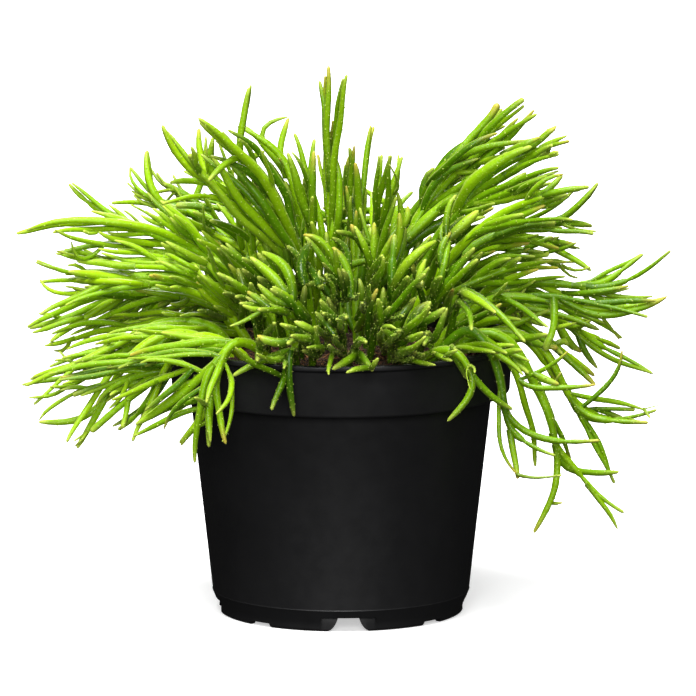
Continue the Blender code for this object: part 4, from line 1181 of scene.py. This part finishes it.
def growTwigs(tree, crowd):
    draw = np.random.default_rng(twigs["seed"])
    for stem in [one for one in tree if not one.rooted]:
        region = plans[stem.spray]["region"]
        if draw.uniform() > twigs["share"].get(region, 0) or stem.spray in twigs["bare"]:
            continue
        length = twigs["length"].get(region, twigs["otherLength"])
        for _ in range(draw.integers(1, twigs["most"] + 1)):
            share = draw.uniform(*twigs["spring"])
            radius = draw.uniform(*twigs["radius"])
            for attempt in range(twigs["tries"]):
                made = twig(stem, share, radius, length, 1 - twigs["shorter"] * attempt, draw)
                if fits(made, crowd, twigs["clearance"], twigs["ownClearance"], twigs["firstFree"]):
                    tree.append(made)
                    crowd.add(made)
                    break


growTwigs(tree, crowd)
print("with the twigs:", len(tree), seconds())


# what differs between the regions: how many shoots have a joint, how old the skin is and how fresh bright
# shoots are (partly painted light and shade: the front's old, dark skin stands for its shade), how dark the
# painted shade on the dark ones and the lowest part of each stem is, the painted pale sheen on the rim, and
# the blushed tips
regionLooks = {
    "left": dict(joints=0.5, age=0.12, fresh=0.1, deep=0.0, shade=(0.3, 0.45), rimSheen=0.6, blush=0.1),
    "right": dict(joints=0.65, age=0.55, fresh=0.55, deep=0.1, shade=(0.35, 0.6), rimSheen=0.5, blush=0.35),
    "centre": dict(joints=0.15, age=0.5, fresh=0.4, deep=0.2, shade=(0.5, 0.75), rimSheen=0.5, blush=0.2),
    "back": dict(joints=0.5, age=0.5, fresh=0.3, deep=0.1, shade=(0.5, 0.75), rimSheen=0.3, blush=0.1),
    "front": dict(joints=0.12, age=0.85, fresh=0.5, deep=0.8, shade=(0.65, 0.9), rimSheen=0.12, blush=0.05),
}
# sprays whose skin is older than the rest of their region's, by how much
older = {"left_behind": 0.4, "left_blade": 0.2, "left_spire": 0.3, "left_diagonal": 0.35, "right_crown": 0.1,
         "left_rim": 0.3, "left_corner": 0.15, "left_sweep": 0.15}
# the centreline of each stem as drawn: rings every few millimetres, a domed tip and a joint here and there
drawn = dict(seed=5, points=40, ringGap=2.2, leastGap=0.5, leastRings=4, uneven=0.035, wave=0.315,
             waveStart=12, waveLength=(22, 38),
             domeSteps=4, domeReach=0.999, domeEnd=0.12, marks=(0, 0.4, 0.7, 0.9, 1),
             usual=(1, 0.98, 0.9, 0.7, 0.42), spindle=(0.88, 1.06, 0.92, 0.62, 0.34),
             frontSpindle=(0.74, 0.78, 0.7, 0.52, 0.34), ageSpread=0.18, ages={"d": 0.9, "p": 0.15},
             blushed=(0.5, 1), tipLength=2.2, mainTipLength=0.8)
joint = dict(place=(0.45, 0.72), narrower=(0.66, 0.8), shortest=22, steps=(-2.5, -0.9, 0, 1.1, 4),
             before=(1, 0.98, 0.8, 0.55), beyond=(0.85, 1, 0.6))


def ringPlan(stem, draw):
    fine = bent(*stem.bend, np.linspace(0, 1, drawn["points"])[:, None])
    if stem.rooted:
        fine = np.vstack([stem.foot, fine])
    lengths = np.append(0, np.cumsum(np.linalg.norm(np.diff(fine, axis=0), axis=1)))
    whole = lengths[-1]
    base = stem.radii[stem.rooted]
    region = plans[stem.spray]["region"]
    marks, girths = whole * np.array(drawn["marks"]), base * np.array(drawn["usual"])
    jointed = (draw.uniform() < regionLooks[region]["joints"] and stem.kind in ("shoot", "extra")
               and whole > joint["shortest"])
    if jointed:
        place = whole * draw.uniform(*joint["place"])
        after = base * draw.uniform(*joint["narrower"])
        marks = [0, *[place + step for step in joint["steps"]], whole]
        girths = [*[base * share for share in joint["before"]], *[after * share for share in joint["beyond"]]]
    elif region == "front" and stem.kind in ("stem", "shoot"):
        girths = base * np.array(drawn["frontSpindle"])
    elif stem.kind == "seen" and stem.look.islower():
        girths = base * np.array(drawn["spindle"])
    elif stem.kind in ("seen", "twig"):
        marks, girths = [0, whole], [base, stem.radii[-1]]
    tipRadius = girths[-1]
    count = max(drawn["leastRings"], int((whole - tipRadius) / drawn["ringGap"]))
    steps = np.linspace(0, whole - tipRadius, count)
    if jointed:
        steps = np.unique(np.round(np.concatenate([steps, marks[1:-1]]), 2))
        steps = steps[np.append(True, np.diff(steps) > drawn["leastGap"])]
    girth = np.interp(steps, marks, girths) * (1 + draw.normal(0, drawn["uneven"], len(steps)))
    bends = np.linspace(0, np.pi / 2, drawn["domeSteps"] + 1)[1:]
    steps = np.append(steps, whole - tipRadius + tipRadius * np.sin(bends) * drawn["domeReach"])
    girth = np.append(girth, tipRadius * np.maximum(np.cos(bends), drawn["domeEnd"]))
    places = np.array([np.interp(steps, lengths, axis) for axis in fine.T]).T
    phase = draw.uniform(0, 2 * np.pi, 3)
    pace = 2 * np.pi / draw.uniform(*drawn["waveLength"], 3)
    fade = np.clip(steps / drawn["waveStart"], 0, 1)[:, None] * drawn["wave"]
    places = places + (np.sin(steps[:, None] * pace + phase) - np.sin(phase)) * fade
    return places, girth, steps, whole


def lineMesh(name, own, draw):
    # the centrelines of a spray; each point's attributes say how it is grown and coloured
    region = regionLooks[plans[name]["region"]]
    places, edges, values = [], [], {}
    for stem in own:
        line, girth, steps, whole = ringPlan(stem, draw)
        first = len(places)
        places += [tuple(place * mm) for place in line]
        edges += [(first + index, first + index + 1) for index in range(len(line) - 1)]
        look = stem.look.lower()
        age = float(np.clip(region["age"] + draw.normal(0, drawn["ageSpread"]), 0, 1))
        # bright shoots take a fresher, lighter skin, partly painted light; dark ones an old, dark skin,
        # partly painted shade
        age = {"b": region["fresh"], **drawn["ages"]}.get(look, age)
        blush = draw.uniform(*drawn["blushed"]) if draw.uniform() < region["blush"] else 0
        # painted shade: the skin darkens towards each stem's foot, and the dark shoots are darker still
        reach, most = region["shade"]
        shade = most * np.clip(1 - steps / whole / reach, 0, 1)
        tipLength = drawn["mainTipLength"] if stem.rooted else drawn["tipLength"]
        given = dict(girth=girth * mm, along=steps / whole, tone=draw.uniform(),
                     age=min(1, age + older.get(name, 0)), blush={"o": 1, "p": 0}.get(look, blush),
                     tipward=np.exp((steps - whole) / tipLength), rimSheen=region["rimSheen"],
                     thin=1 if stem.kind == "twig" else 0.5 * (look == "p"),
                     shade=np.maximum(shade, region["deep"] * (look == "d")))
        for key, value in given.items():
            values.setdefault(key, []).extend(np.broadcast_to(value, len(line)))
    mesh = bpy.data.meshes.new(name)
    mesh.from_pydata(places, edges, [])
    for key, numbers in values.items():
        mesh.attributes.new(key, "FLOAT", "POINT").data.foreach_set("value", numbers)
    return mesh


def skinLook():
    # waxy cactus skin: fresh yellow-green, paler to the tips and darker where old, with fine light flecks,
    # painted shade deep in the plant and a painted pale sheen where the skin turns from view
    look, tree, shader = newLook("waxy green stem skin")
    place = addNode(tree, "ShaderNodeTexCoord").outputs["Object"]
    given = {name: addNode(tree, "ShaderNodeAttribute", attribute_name=name).outputs["Fac"]
             for name in ("tone", "age", "shade", "thin", "tipward", "blush", "along", "rimSheen")}
    cloud = addNode(tree, "ShaderNodeTexNoise", {"Vector": place, "Scale": 1 / (6 * mm), "Detail": 3})
    cloudy = addNode(tree, "ShaderNodeMath", {0: cloud, 1: 0.5}, operation="MULTIPLY")
    lively = addNode(tree, "ShaderNodeMath", {0: given["tone"], 1: 0.6, 2: cloudy}, operation="MULTIPLY_ADD",
                     use_clamp=True)
    young, old = [addNode(tree, "ShaderNodeMix", {0: lively, 6: srgb(deep), 7: srgb(bright)},
                          data_type="RGBA")
                  for deep, bright in (("#76AB03", "#A8D210"), ("#346002", "#5F8C05"))]
    green = addNode(tree, "ShaderNodeMix", {0: given["age"], 6: young, 7: old}, data_type="RGBA")
    flecks = addNode(tree, "ShaderNodeTexVoronoi", {"Vector": place, "Scale": 1 / (1.1 * mm)})
    fleck = addNode(tree, "ShaderNodeMapRange", {0: flecks, 1: 0.1, 2: 0.28, 3: 1, 4: 0})
    fresh = addNode(tree, "ShaderNodeMapRange", {0: given["age"], 3: 0.7, 4: 0.4})
    blushed = addNode(tree, "ShaderNodeMapRange", {0: given["along"], 1: 0.78, 2: 1, 4: 0.7})
    # painted sheen: the skin's colour turns paler where it turns from view, a painted rim reflection
    facing = addNode(tree, "ShaderNodeLayerWeight").outputs["Facing"]
    rimward = addNode(tree, "ShaderNodeMapRange", {0: facing, 1: 0.5, 2: 0.95})
    # laid over each other: painted deep shade, thin twigs, flecks, pale tips, the orange blush and a painted
    # pale sheen where the skin turns from view
    for share, strength, colour in ((given["shade"], 1, "#1A3A02"), (given["thin"], 0.5, "#84982C"),
                                    (fleck, fresh, "#B4D048"), (given["tipward"], 0.68, "#CCD65C"),
                                    (given["blush"], blushed, "#C09A3C"),
                                    (rimward, given["rimSheen"], "#C4DA68")):
        part = addNode(tree, "ShaderNodeMath", {0: share, 1: strength}, operation="MULTIPLY")
        green = addNode(tree, "ShaderNodeMix", {0: part, 6: green, 7: srgb(colour)}, data_type="RGBA")
    sheen = addNode(tree, "ShaderNodeTexNoise", {"Vector": place, "Scale": 1 / (2.5 * mm)})
    gloss = addNode(tree, "ShaderNodeMapRange", {0: sheen, 1: 0.3, 2: 0.7, 3: 0.26, 4: 0.4})
    coarse, fine = [addNode(tree, "ShaderNodeTexNoise", {"Vector": place, "Scale": 1 / (size * mm),
                                                         "Detail": detail})
                    for size, detail in ((1.6, 2), (0.5, 1))]
    height = addNode(tree, "ShaderNodeMath", {0: fine, 1: 0.4, 2: coarse}, operation="MULTIPLY_ADD")
    bump = addNode(tree, "ShaderNodeBump", {"Height": height, "Distance": 0.3 * mm, "Strength": 0.7})
    feed(tree, shader, {"Base Color": green, "Roughness": gloss, "Specular IOR Level": 0.22,
                        "Subsurface Weight": 0.06, "Subsurface Radius": (0.5, 1.0, 0.1),
                        "Subsurface Scale": 1.2 * mm, "Normal": bump})
    return look


def woolLook():
    # areole wool: pale matt felt, tinted yellow-green by the light from the skin round it
    look, tree, shader = newLook("cream areole wool")
    place = addNode(tree, "ShaderNodeTexCoord").outputs["Object"]
    cloud = addNode(tree, "ShaderNodeTexNoise", {"Vector": place, "Scale": 1 / (0.8 * mm)})
    wool = addNode(tree, "ShaderNodeMix", {0: cloud, 6: srgb("#A8C244"), 7: srgb("#CCD86C")},
                   data_type="RGBA")
    feed(tree, shader, {"Base Color": wool, "Roughness": 0.8})
    return look


def bristleLook():
    # fine bristles: whitish horn
    look, tree, shader = newLook("whitish bristle")
    tone = addNode(tree, "ShaderNodeAttribute", attribute_name="tone").outputs["Fac"]
    horn = addNode(tree, "ShaderNodeMix", {0: tone, 6: srgb("#B8C070"), 7: srgb("#D4D6A0")}, data_type="RGBA")
    feed(tree, shader, {"Base Color": horn, "Roughness": 0.5})
    return look


# areoles: five-sided tufts, half sunk, closer together on the young front shoots; they and their bristles
# are coarser than the real ones, so that they show
areoles = dict(gap={"front": 0.85}, otherGap=1.6, size=0.26, sizes=(0.7, 1.25), turn=2.4, out=0.94, sides=5,
               height=0.9, sunk=-0.2, bristled=0.3, bristle=0.6, bristleRadius=0.035, bristleTip=0.01,
               lean=((-0.6, -0.6, 0), (0.6, 0.6, 6.2)))
ribs = dict(sides=10, depth=0.2)


def growthSizes(region, seed):
    gap = areoles["gap"].get(region, areoles["otherGap"])
    return {"Sides": ribs["sides"], "Areole gap": gap * mm, "Areole size": areoles["size"] * mm, "Seed": seed}


def growthTree(skin, wool, bristle):
    # lines with a girth become tubes; areoles wind round them, some with a bristle
    tree, given = newTree("growStems", growthSizes("left", 0))
    curve = addNode(tree, "GeometryNodeMeshToCurve", {"Mesh": given["Geometry"]})
    girth = addNode(tree, "GeometryNodeInputNamedAttribute", {"Name": "girth"})
    order = addNode(tree, "GeometryNodeInputIndex")
    ring = addNode(tree, "GeometryNodeCurvePrimitiveCircle", {"Resolution": given["Sides"], "Radius": 1.0})
    sunk = addNode(tree, "ShaderNodeMath", {0: order, 1: 2}, operation="MODULO")
    sunk = addNode(tree, "ShaderNodeMath", {0: sunk, 1: -ribs["depth"]}, operation="MULTIPLY")
    place = addNode(tree, "GeometryNodeInputPosition")
    inward = addNode(tree, "ShaderNodeVectorMath", {0: place, "Scale": sunk}, operation="SCALE")
    ring = addNode(tree, "GeometryNodeSetPosition", {"Geometry": ring, "Offset": inward})
    tube = addNode(tree, "GeometryNodeCurveToMesh", {"Curve": curve, "Profile Curve": ring, "Scale": girth,
                                                     "Fill Caps": True})
    tube = addNode(tree, "GeometryNodeSetShadeSmooth", {"Geometry": tube})
    tube = addNode(tree, "GeometryNodeSetMaterial", {"Geometry": tube, "Material": skin})

    # points wind along each line, and move out to its skin
    dots = addNode(tree, "GeometryNodeCurveToPoints", {"Curve": curve, "Length": given["Areole gap"]},
                   mode="LENGTH")
    winding = addNode(tree, "ShaderNodeMath", {0: order, 1: areoles["turn"]}, operation="MULTIPLY")
    outward = addNode(tree, "ShaderNodeVectorRotate",
                      {"Vector": dots.outputs["Normal"], "Axis": dots.outputs["Tangent"], "Angle": winding},
                      rotation_type="AXIS_ANGLE")
    dots = addNode(tree, "GeometryNodeStoreNamedAttribute",
                   {"Geometry": dots, "Name": "outward", "Value": outward}, data_type="FLOAT_VECTOR")
    outward = addNode(tree, "GeometryNodeInputNamedAttribute", {"Name": "outward"}, data_type="FLOAT_VECTOR")
    reach = addNode(tree, "ShaderNodeMath", {0: girth, 1: areoles["out"]}, operation="MULTIPLY")
    shift = addNode(tree, "ShaderNodeVectorMath", {0: outward, "Scale": reach}, operation="SCALE")
    dots = addNode(tree, "GeometryNodeSetPosition", {"Geometry": dots, "Offset": shift})
    turn = addNode(tree, "FunctionNodeAlignRotationToVector", {"Vector": outward}, axis="Z")

    least, most = areoles["sizes"]
    size = addNode(tree, "FunctionNodeRandomValue", {2: least, 3: most, 8: given["Seed"]}, data_type="FLOAT")
    size = addNode(tree, "ShaderNodeMath", {0: size, 1: given["Areole size"]}, operation="MULTIPLY")
    tuft = addNode(tree, "GeometryNodeMeshCone", {"Vertices": areoles["sides"], "Radius Top": 0.0,
                                                  "Radius Bottom": 1.0, "Depth": areoles["height"]})
    tuft = addNode(tree, "GeometryNodeTransform", {"Geometry": tuft, "Translation": (0, 0, areoles["sunk"])})
    tuft = addNode(tree, "GeometryNodeInstanceOnPoints",
                   {"Points": dots, "Instance": tuft, "Rotation": turn, "Scale": size})
    tuft = addNode(tree, "GeometryNodeRealizeInstances", {"Geometry": tuft})
    tuft = addNode(tree, "GeometryNodeSetShadeSmooth", {"Geometry": tuft})
    tuft = addNode(tree, "GeometryNodeSetMaterial", {"Geometry": tuft, "Material": wool})

    seed = addNode(tree, "ShaderNodeMath", {0: given["Seed"], 1: 3}, operation="ADD")
    some = addNode(tree, "FunctionNodeRandomValue", {6: areoles["bristled"], 8: seed}, data_type="BOOLEAN")
    least, most = areoles["lean"]
    jitter = addNode(tree, "FunctionNodeRandomValue", {0: least, 1: most, 8: given["Seed"]},
                     data_type="FLOAT_VECTOR")
    lean = addNode(tree, "FunctionNodeRotateRotation", {"Rotation": turn, "Rotate By": jitter},
                   rotation_space="LOCAL")
    spine = addNode(tree, "GeometryNodeMeshCone", {"Vertices": 3, "Radius Top": areoles["bristleTip"] * mm,
                                                   "Radius Bottom": areoles["bristleRadius"] * mm,
                                                   "Depth": areoles["bristle"] * mm})
    spine = addNode(tree, "GeometryNodeInstanceOnPoints",
                    {"Points": dots, "Selection": some, "Instance": spine, "Rotation": lean})
    spine = addNode(tree, "GeometryNodeRealizeInstances", {"Geometry": spine})
    spine = addNode(tree, "GeometryNodeSetMaterial", {"Geometry": spine, "Material": bristle})
    closeTree(tree, (spine, tuft, tube))
    return tree


def socketName(tree, label):
    return next(item.identifier for item in tree.interface.items_tree if item.name == label)


def grownMesh(name, mesh, tree, sizes):
    maker = bpy.data.objects.new(name + " lines", mesh)
    bpy.context.scene.collection.objects.link(maker)
    modifier = maker.modifiers.new("grow", "NODES")
    modifier.node_group = tree
    for label, value in sizes.items():
        modifier[socketName(tree, label)] = value
    graph = bpy.context.evaluated_depsgraph_get()
    made = bpy.data.meshes.new_from_object(maker.evaluated_get(graph))
    bpy.data.objects.remove(maker)
    for spare in ("outward", "girth"):
        if spare in made.attributes:
            made.attributes.remove(made.attributes[spare])
    return made


def makeSprays():
    draw = np.random.default_rng(drawn["seed"])
    growth = growthTree(skinLook(), woolLook(), bristleLook())
    total = 0
    for number, (name, plan) in enumerate(plans.items()):
        own = [stem for stem in tree if stem.spray == name]
        mesh = grownMesh(name, lineMesh(name, own, draw), growth, growthSizes(plan["region"], number))
        addPiece("grown_" + name, mesh, "spray_" + name)
        total += triangles(mesh)
    return total


print("triangles in the sprays:", makeSprays(), seconds())


# soil: an uneven fill of peat, a little heaped round each stem and lower at the edge, with crumbs and fibres
soil = dict(rings=46, steps=150, crowding=0.85, radius=56.0, rough=1.1,
            clods=((7, 0, 0.9), (2.4, 5, 0.7), (1, 9, 0.25)),
            mound=0.9, moundWidth=14, moundReach=9, edgeFrom=49, edgeWidth=7, edgeDrop=1.6, edgeSmooth=0.5,
            crumbs=2600, fibres=700, seed=41)
soilSide = [(55.35, 78.2), (50.0, 76.7), (49.4, 74.5), (41.8, 7.2)]
# what is strewn on it, in metres: bits lie on faces that look up, above a height and within a radius
strewn = {
    "Crumbs": dict(least=(0.0003, 0.0003, 0.00025), most=(0.0015, 0.0012, 0.0009), blobs=900.0, wobble=0.0012,
                   seed=0),
    "Fibres": dict(least=(0.002, 1.0, 1.0), most=(0.007, 1.6, 1.6), blobs=300.0, wobble=0.003, seed=7),
}
strewnRule = dict(upward=0.3, lowest=0.086, within=0.0535, leastTurn=(-0.3, -0.35, 0),
                  mostTurn=(0.3, 0.35, 6.28), fibreRadius=0.00009, fibreSides=4, fibreBends=5)


def soilLook():
    # damp peat: dark red-brown with blacker and rustier grains, matt
    look, tree, shader = newLook("damp red-brown peat")
    place = addNode(tree, "ShaderNodeTexCoord").outputs["Object"]
    cloud = addNode(tree, "ShaderNodeTexNoise", {"Vector": place, "Scale": 1 / (2.6 * mm), "Detail": 4,
                                                 "Roughness": 0.7})
    clumps = addNode(tree, "ShaderNodeMapRange", {0: cloud, 1: 0.35, 2: 0.65})
    brown = addNode(tree, "ShaderNodeMix", {0: clumps, 6: srgb("#0E0804"), 7: srgb("#2C1A0D")},
                    data_type="RGBA")
    grains = addNode(tree, "ShaderNodeTexVoronoi", {"Vector": place, "Scale": 1 / (1.1 * mm)})
    rust = addNode(tree, "ShaderNodeSeparateColor", {"Color": grains.outputs["Color"]})
    rust = addNode(tree, "ShaderNodeMapRange", {0: rust, 1: 0.72, 2: 0.95, 4: 0.8})
    brown = addNode(tree, "ShaderNodeMix", {0: rust, 6: brown, 7: srgb("#7A4A26")}, data_type="RGBA")
    coarse, fine = [addNode(tree, "ShaderNodeTexNoise", {"Vector": place, "Scale": 1 / (size * mm),
                                                         "Detail": detail})
                    for size, detail in ((0.9, 3), (0.3, 2))]
    height = addNode(tree, "ShaderNodeMath", {0: coarse, 1: fine}, operation="ADD")
    bump = addNode(tree, "ShaderNodeBump", {"Height": height, "Distance": 0.5 * mm, "Strength": 0.8})
    feed(tree, shader, {"Base Color": brown, "Roughness": 0.93, "Specular IOR Level": 0.25, "Normal": bump})
    return look


def crumbLook(name, low, high):
    # loose peat crumbs and fibres: each of its own brown
    look, tree, shader = newLook(name)
    place = addNode(tree, "ShaderNodeTexCoord").outputs["Object"]
    tone = addNode(tree, "ShaderNodeAttribute", attribute_name="tone").outputs["Fac"]
    coarse, fine = [addNode(tree, "ShaderNodeTexNoise", {"Vector": place, "Scale": 1 / (size * mm),
                                                         "Detail": 3}) for size in (0.7, 0.4)]
    cloudy = addNode(tree, "ShaderNodeMath", {0: coarse, 1: 0.35}, operation="MULTIPLY")
    share = addNode(tree, "ShaderNodeMath", {0: tone, 1: 0.75, 2: cloudy}, operation="MULTIPLY_ADD",
                    use_clamp=True)
    brown = addNode(tree, "ShaderNodeMix", {0: share, 6: srgb(low), 7: srgb(high)}, data_type="RGBA")
    bump = addNode(tree, "ShaderNodeBump", {"Height": fine, "Distance": 0.2 * mm, "Strength": 0.7})
    feed(tree, shader, {"Base Color": brown, "Roughness": 0.9, "Normal": bump})
    return look


def soilHeight(x, y, stems):
    reach = soil["moundReach"]
    mound = sum(soil["mound"] * math.exp(-((x - a) ** 2 + (y - b) ** 2) / soil["moundWidth"])
                for a, b in stems if abs(x - a) < reach and abs(y - b) < reach)
    rough = sum(noise.noise(Vector((x, y, level)) / size) * share for size, level, share in soil["clods"])
    edge = max(0, math.hypot(x, y) - soil["edgeFrom"]) / soil["edgeWidth"]
    rough *= soil["rough"] * (1 - soil["edgeSmooth"] * edge)
    return soilTop + rough + mound - edge**2 * soil["edgeDrop"]


def soilMesh():
    stems = [stem.line[0][:2] for stem in placed if stem.rooted]
    turns = np.linspace(0, 2 * np.pi, soil["steps"], endpoint=False)
    places = [(0, 0, soilTop)]
    for radius in np.linspace(0, 1, soil["rings"])[1:] ** soil["crowding"] * soil["radius"]:
        around = [(radius * math.cos(turn), radius * math.sin(turn)) for turn in turns]
        places += [(x, y, soilHeight(x, y, stems)) for x, y in around]
    for radius, height in soilSide:
        places += [(radius * math.cos(turn), radius * math.sin(turn), height) for turn in turns]
    places.append((0, 0, soilSide[-1][1]))
    mesh = bpy.data.meshes.new("soil")
    mesh.from_pydata([tuple(np.array(place) * mm) for place in places], [],
                     shellFaces(soil["rings"] - 1 + len(soilSide), soil["steps"]))
    mesh.attributes.new("tone", "FLOAT", "POINT")
    mesh.shade_smooth()
    return mesh


def soilTree(peat, looks, sizes):
    # crumbs and fibres are strewn on the faces that look up, then each is roughened where it lies
    tree, given = newTree("strewSoil", sizes)
    place = addNode(tree, "GeometryNodeInputPosition")
    normal = addNode(tree, "GeometryNodeInputNormal").outputs[0]
    upward = addNode(tree, "ShaderNodeSeparateXYZ", {0: normal}).outputs["Z"]
    height = addNode(tree, "ShaderNodeSeparateXYZ", {0: place}).outputs["Z"]
    out = addNode(tree, "ShaderNodeVectorMath", {0: place, 1: (1, 1, 0)}, operation="MULTIPLY")
    out = addNode(tree, "ShaderNodeVectorMath", {0: out}, operation="LENGTH")
    top = None
    for value, test, limit in ((upward, "GREATER_THAN", strewnRule["upward"]),
                               (height, "GREATER_THAN", strewnRule["lowest"]),
                               (out, "LESS_THAN", strewnRule["within"])):
        passed = addNode(tree, "ShaderNodeMath", {0: value, 1: limit}, operation=test)
        top = addNode(tree, "ShaderNodeMath", {0: top, 1: passed}, operation="MULTIPLY") if top else passed
    ground = addNode(tree, "GeometryNodeSetMaterial", {"Geometry": given["Geometry"], "Material": peat})

    crumb = addNode(tree, "GeometryNodeMeshIcoSphere", {"Radius": 1.0, "Subdivisions": 1})
    fibre = addNode(tree, "GeometryNodeMeshCylinder",
                    {"Vertices": strewnRule["fibreSides"], "Side Segments": strewnRule["fibreBends"],
                     "Radius": strewnRule["fibreRadius"], "Depth": 1.0})
    fibre = addNode(tree, "GeometryNodeTransform", {"Geometry": fibre, "Rotation": (0, math.pi / 2, 0)})
    made = [ground]
    for (density, bits), shape, look in zip(strewn.items(), (crumb, fibre), looks):
        # the bits' own seed, and the seeds of their sizes and tones
        first, second, third = [addNode(tree, "ShaderNodeMath", {0: given["Seed"], 1: bits["seed"] + step},
                                        operation="ADD") for step in range(3)]
        dots = addNode(tree, "GeometryNodeDistributePointsOnFaces",
                       {"Mesh": given["Geometry"], "Selection": top, "Density": given[density],
                        "Seed": first})
        turn = addNode(tree, "FunctionNodeRandomValue",
                       {0: strewnRule["leastTurn"], 1: strewnRule["mostTurn"], 8: first},
                       data_type="FLOAT_VECTOR")
        size = addNode(tree, "FunctionNodeRandomValue", {0: bits["least"], 1: bits["most"], 8: second},
                       data_type="FLOAT_VECTOR")
        tone = addNode(tree, "FunctionNodeRandomValue", {2: 0, 3: 1, 8: third}, data_type="FLOAT")
        dots = addNode(tree, "GeometryNodeStoreNamedAttribute",
                       {"Geometry": dots, "Name": "tone", "Value": tone}, data_type="FLOAT")
        bit = addNode(tree, "GeometryNodeInstanceOnPoints",
                      {"Points": dots, "Instance": shape, "Rotation": turn, "Scale": size})
        bit = addNode(tree, "GeometryNodeRealizeInstances", {"Geometry": bit})
        shake = addNode(tree, "ShaderNodeTexNoise", {"Vector": place, "Scale": bits["blobs"], "Detail": 1.0})
        shake = addNode(tree, "ShaderNodeVectorMath", {0: shake.outputs["Color"], 1: (0.5, 0.5, 0.5)},
                        operation="SUBTRACT")
        shake = addNode(tree, "ShaderNodeVectorMath", {0: shake, "Scale": bits["wobble"]}, operation="SCALE")
        bit = addNode(tree, "GeometryNodeSetPosition", {"Geometry": bit, "Offset": shake})
        made.append(addNode(tree, "GeometryNodeSetMaterial", {"Geometry": bit, "Material": look}))
    closeTree(tree, made)
    return tree


def makeSoil():
    looks = [crumbLook("loose peat crumbs", "#100904", "#4A2C16"),
             crumbLook("peat fibre", "#36200F", "#94683A")]
    area = math.pi * (soil["radius"] * mm) ** 2
    sizes = {"Crumbs": soil["crumbs"] / area, "Fibres": soil["fibres"] / area, "Seed": soil["seed"]}
    mesh = grownMesh("soil", soilMesh(), soilTree(soilLook(), looks, sizes), sizes)
    addPiece("peatSoil", mesh, "soil")
    return triangles(mesh)


print("triangles in the soil:", makeSoil(), seconds())

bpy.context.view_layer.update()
print("sizes written", seconds())
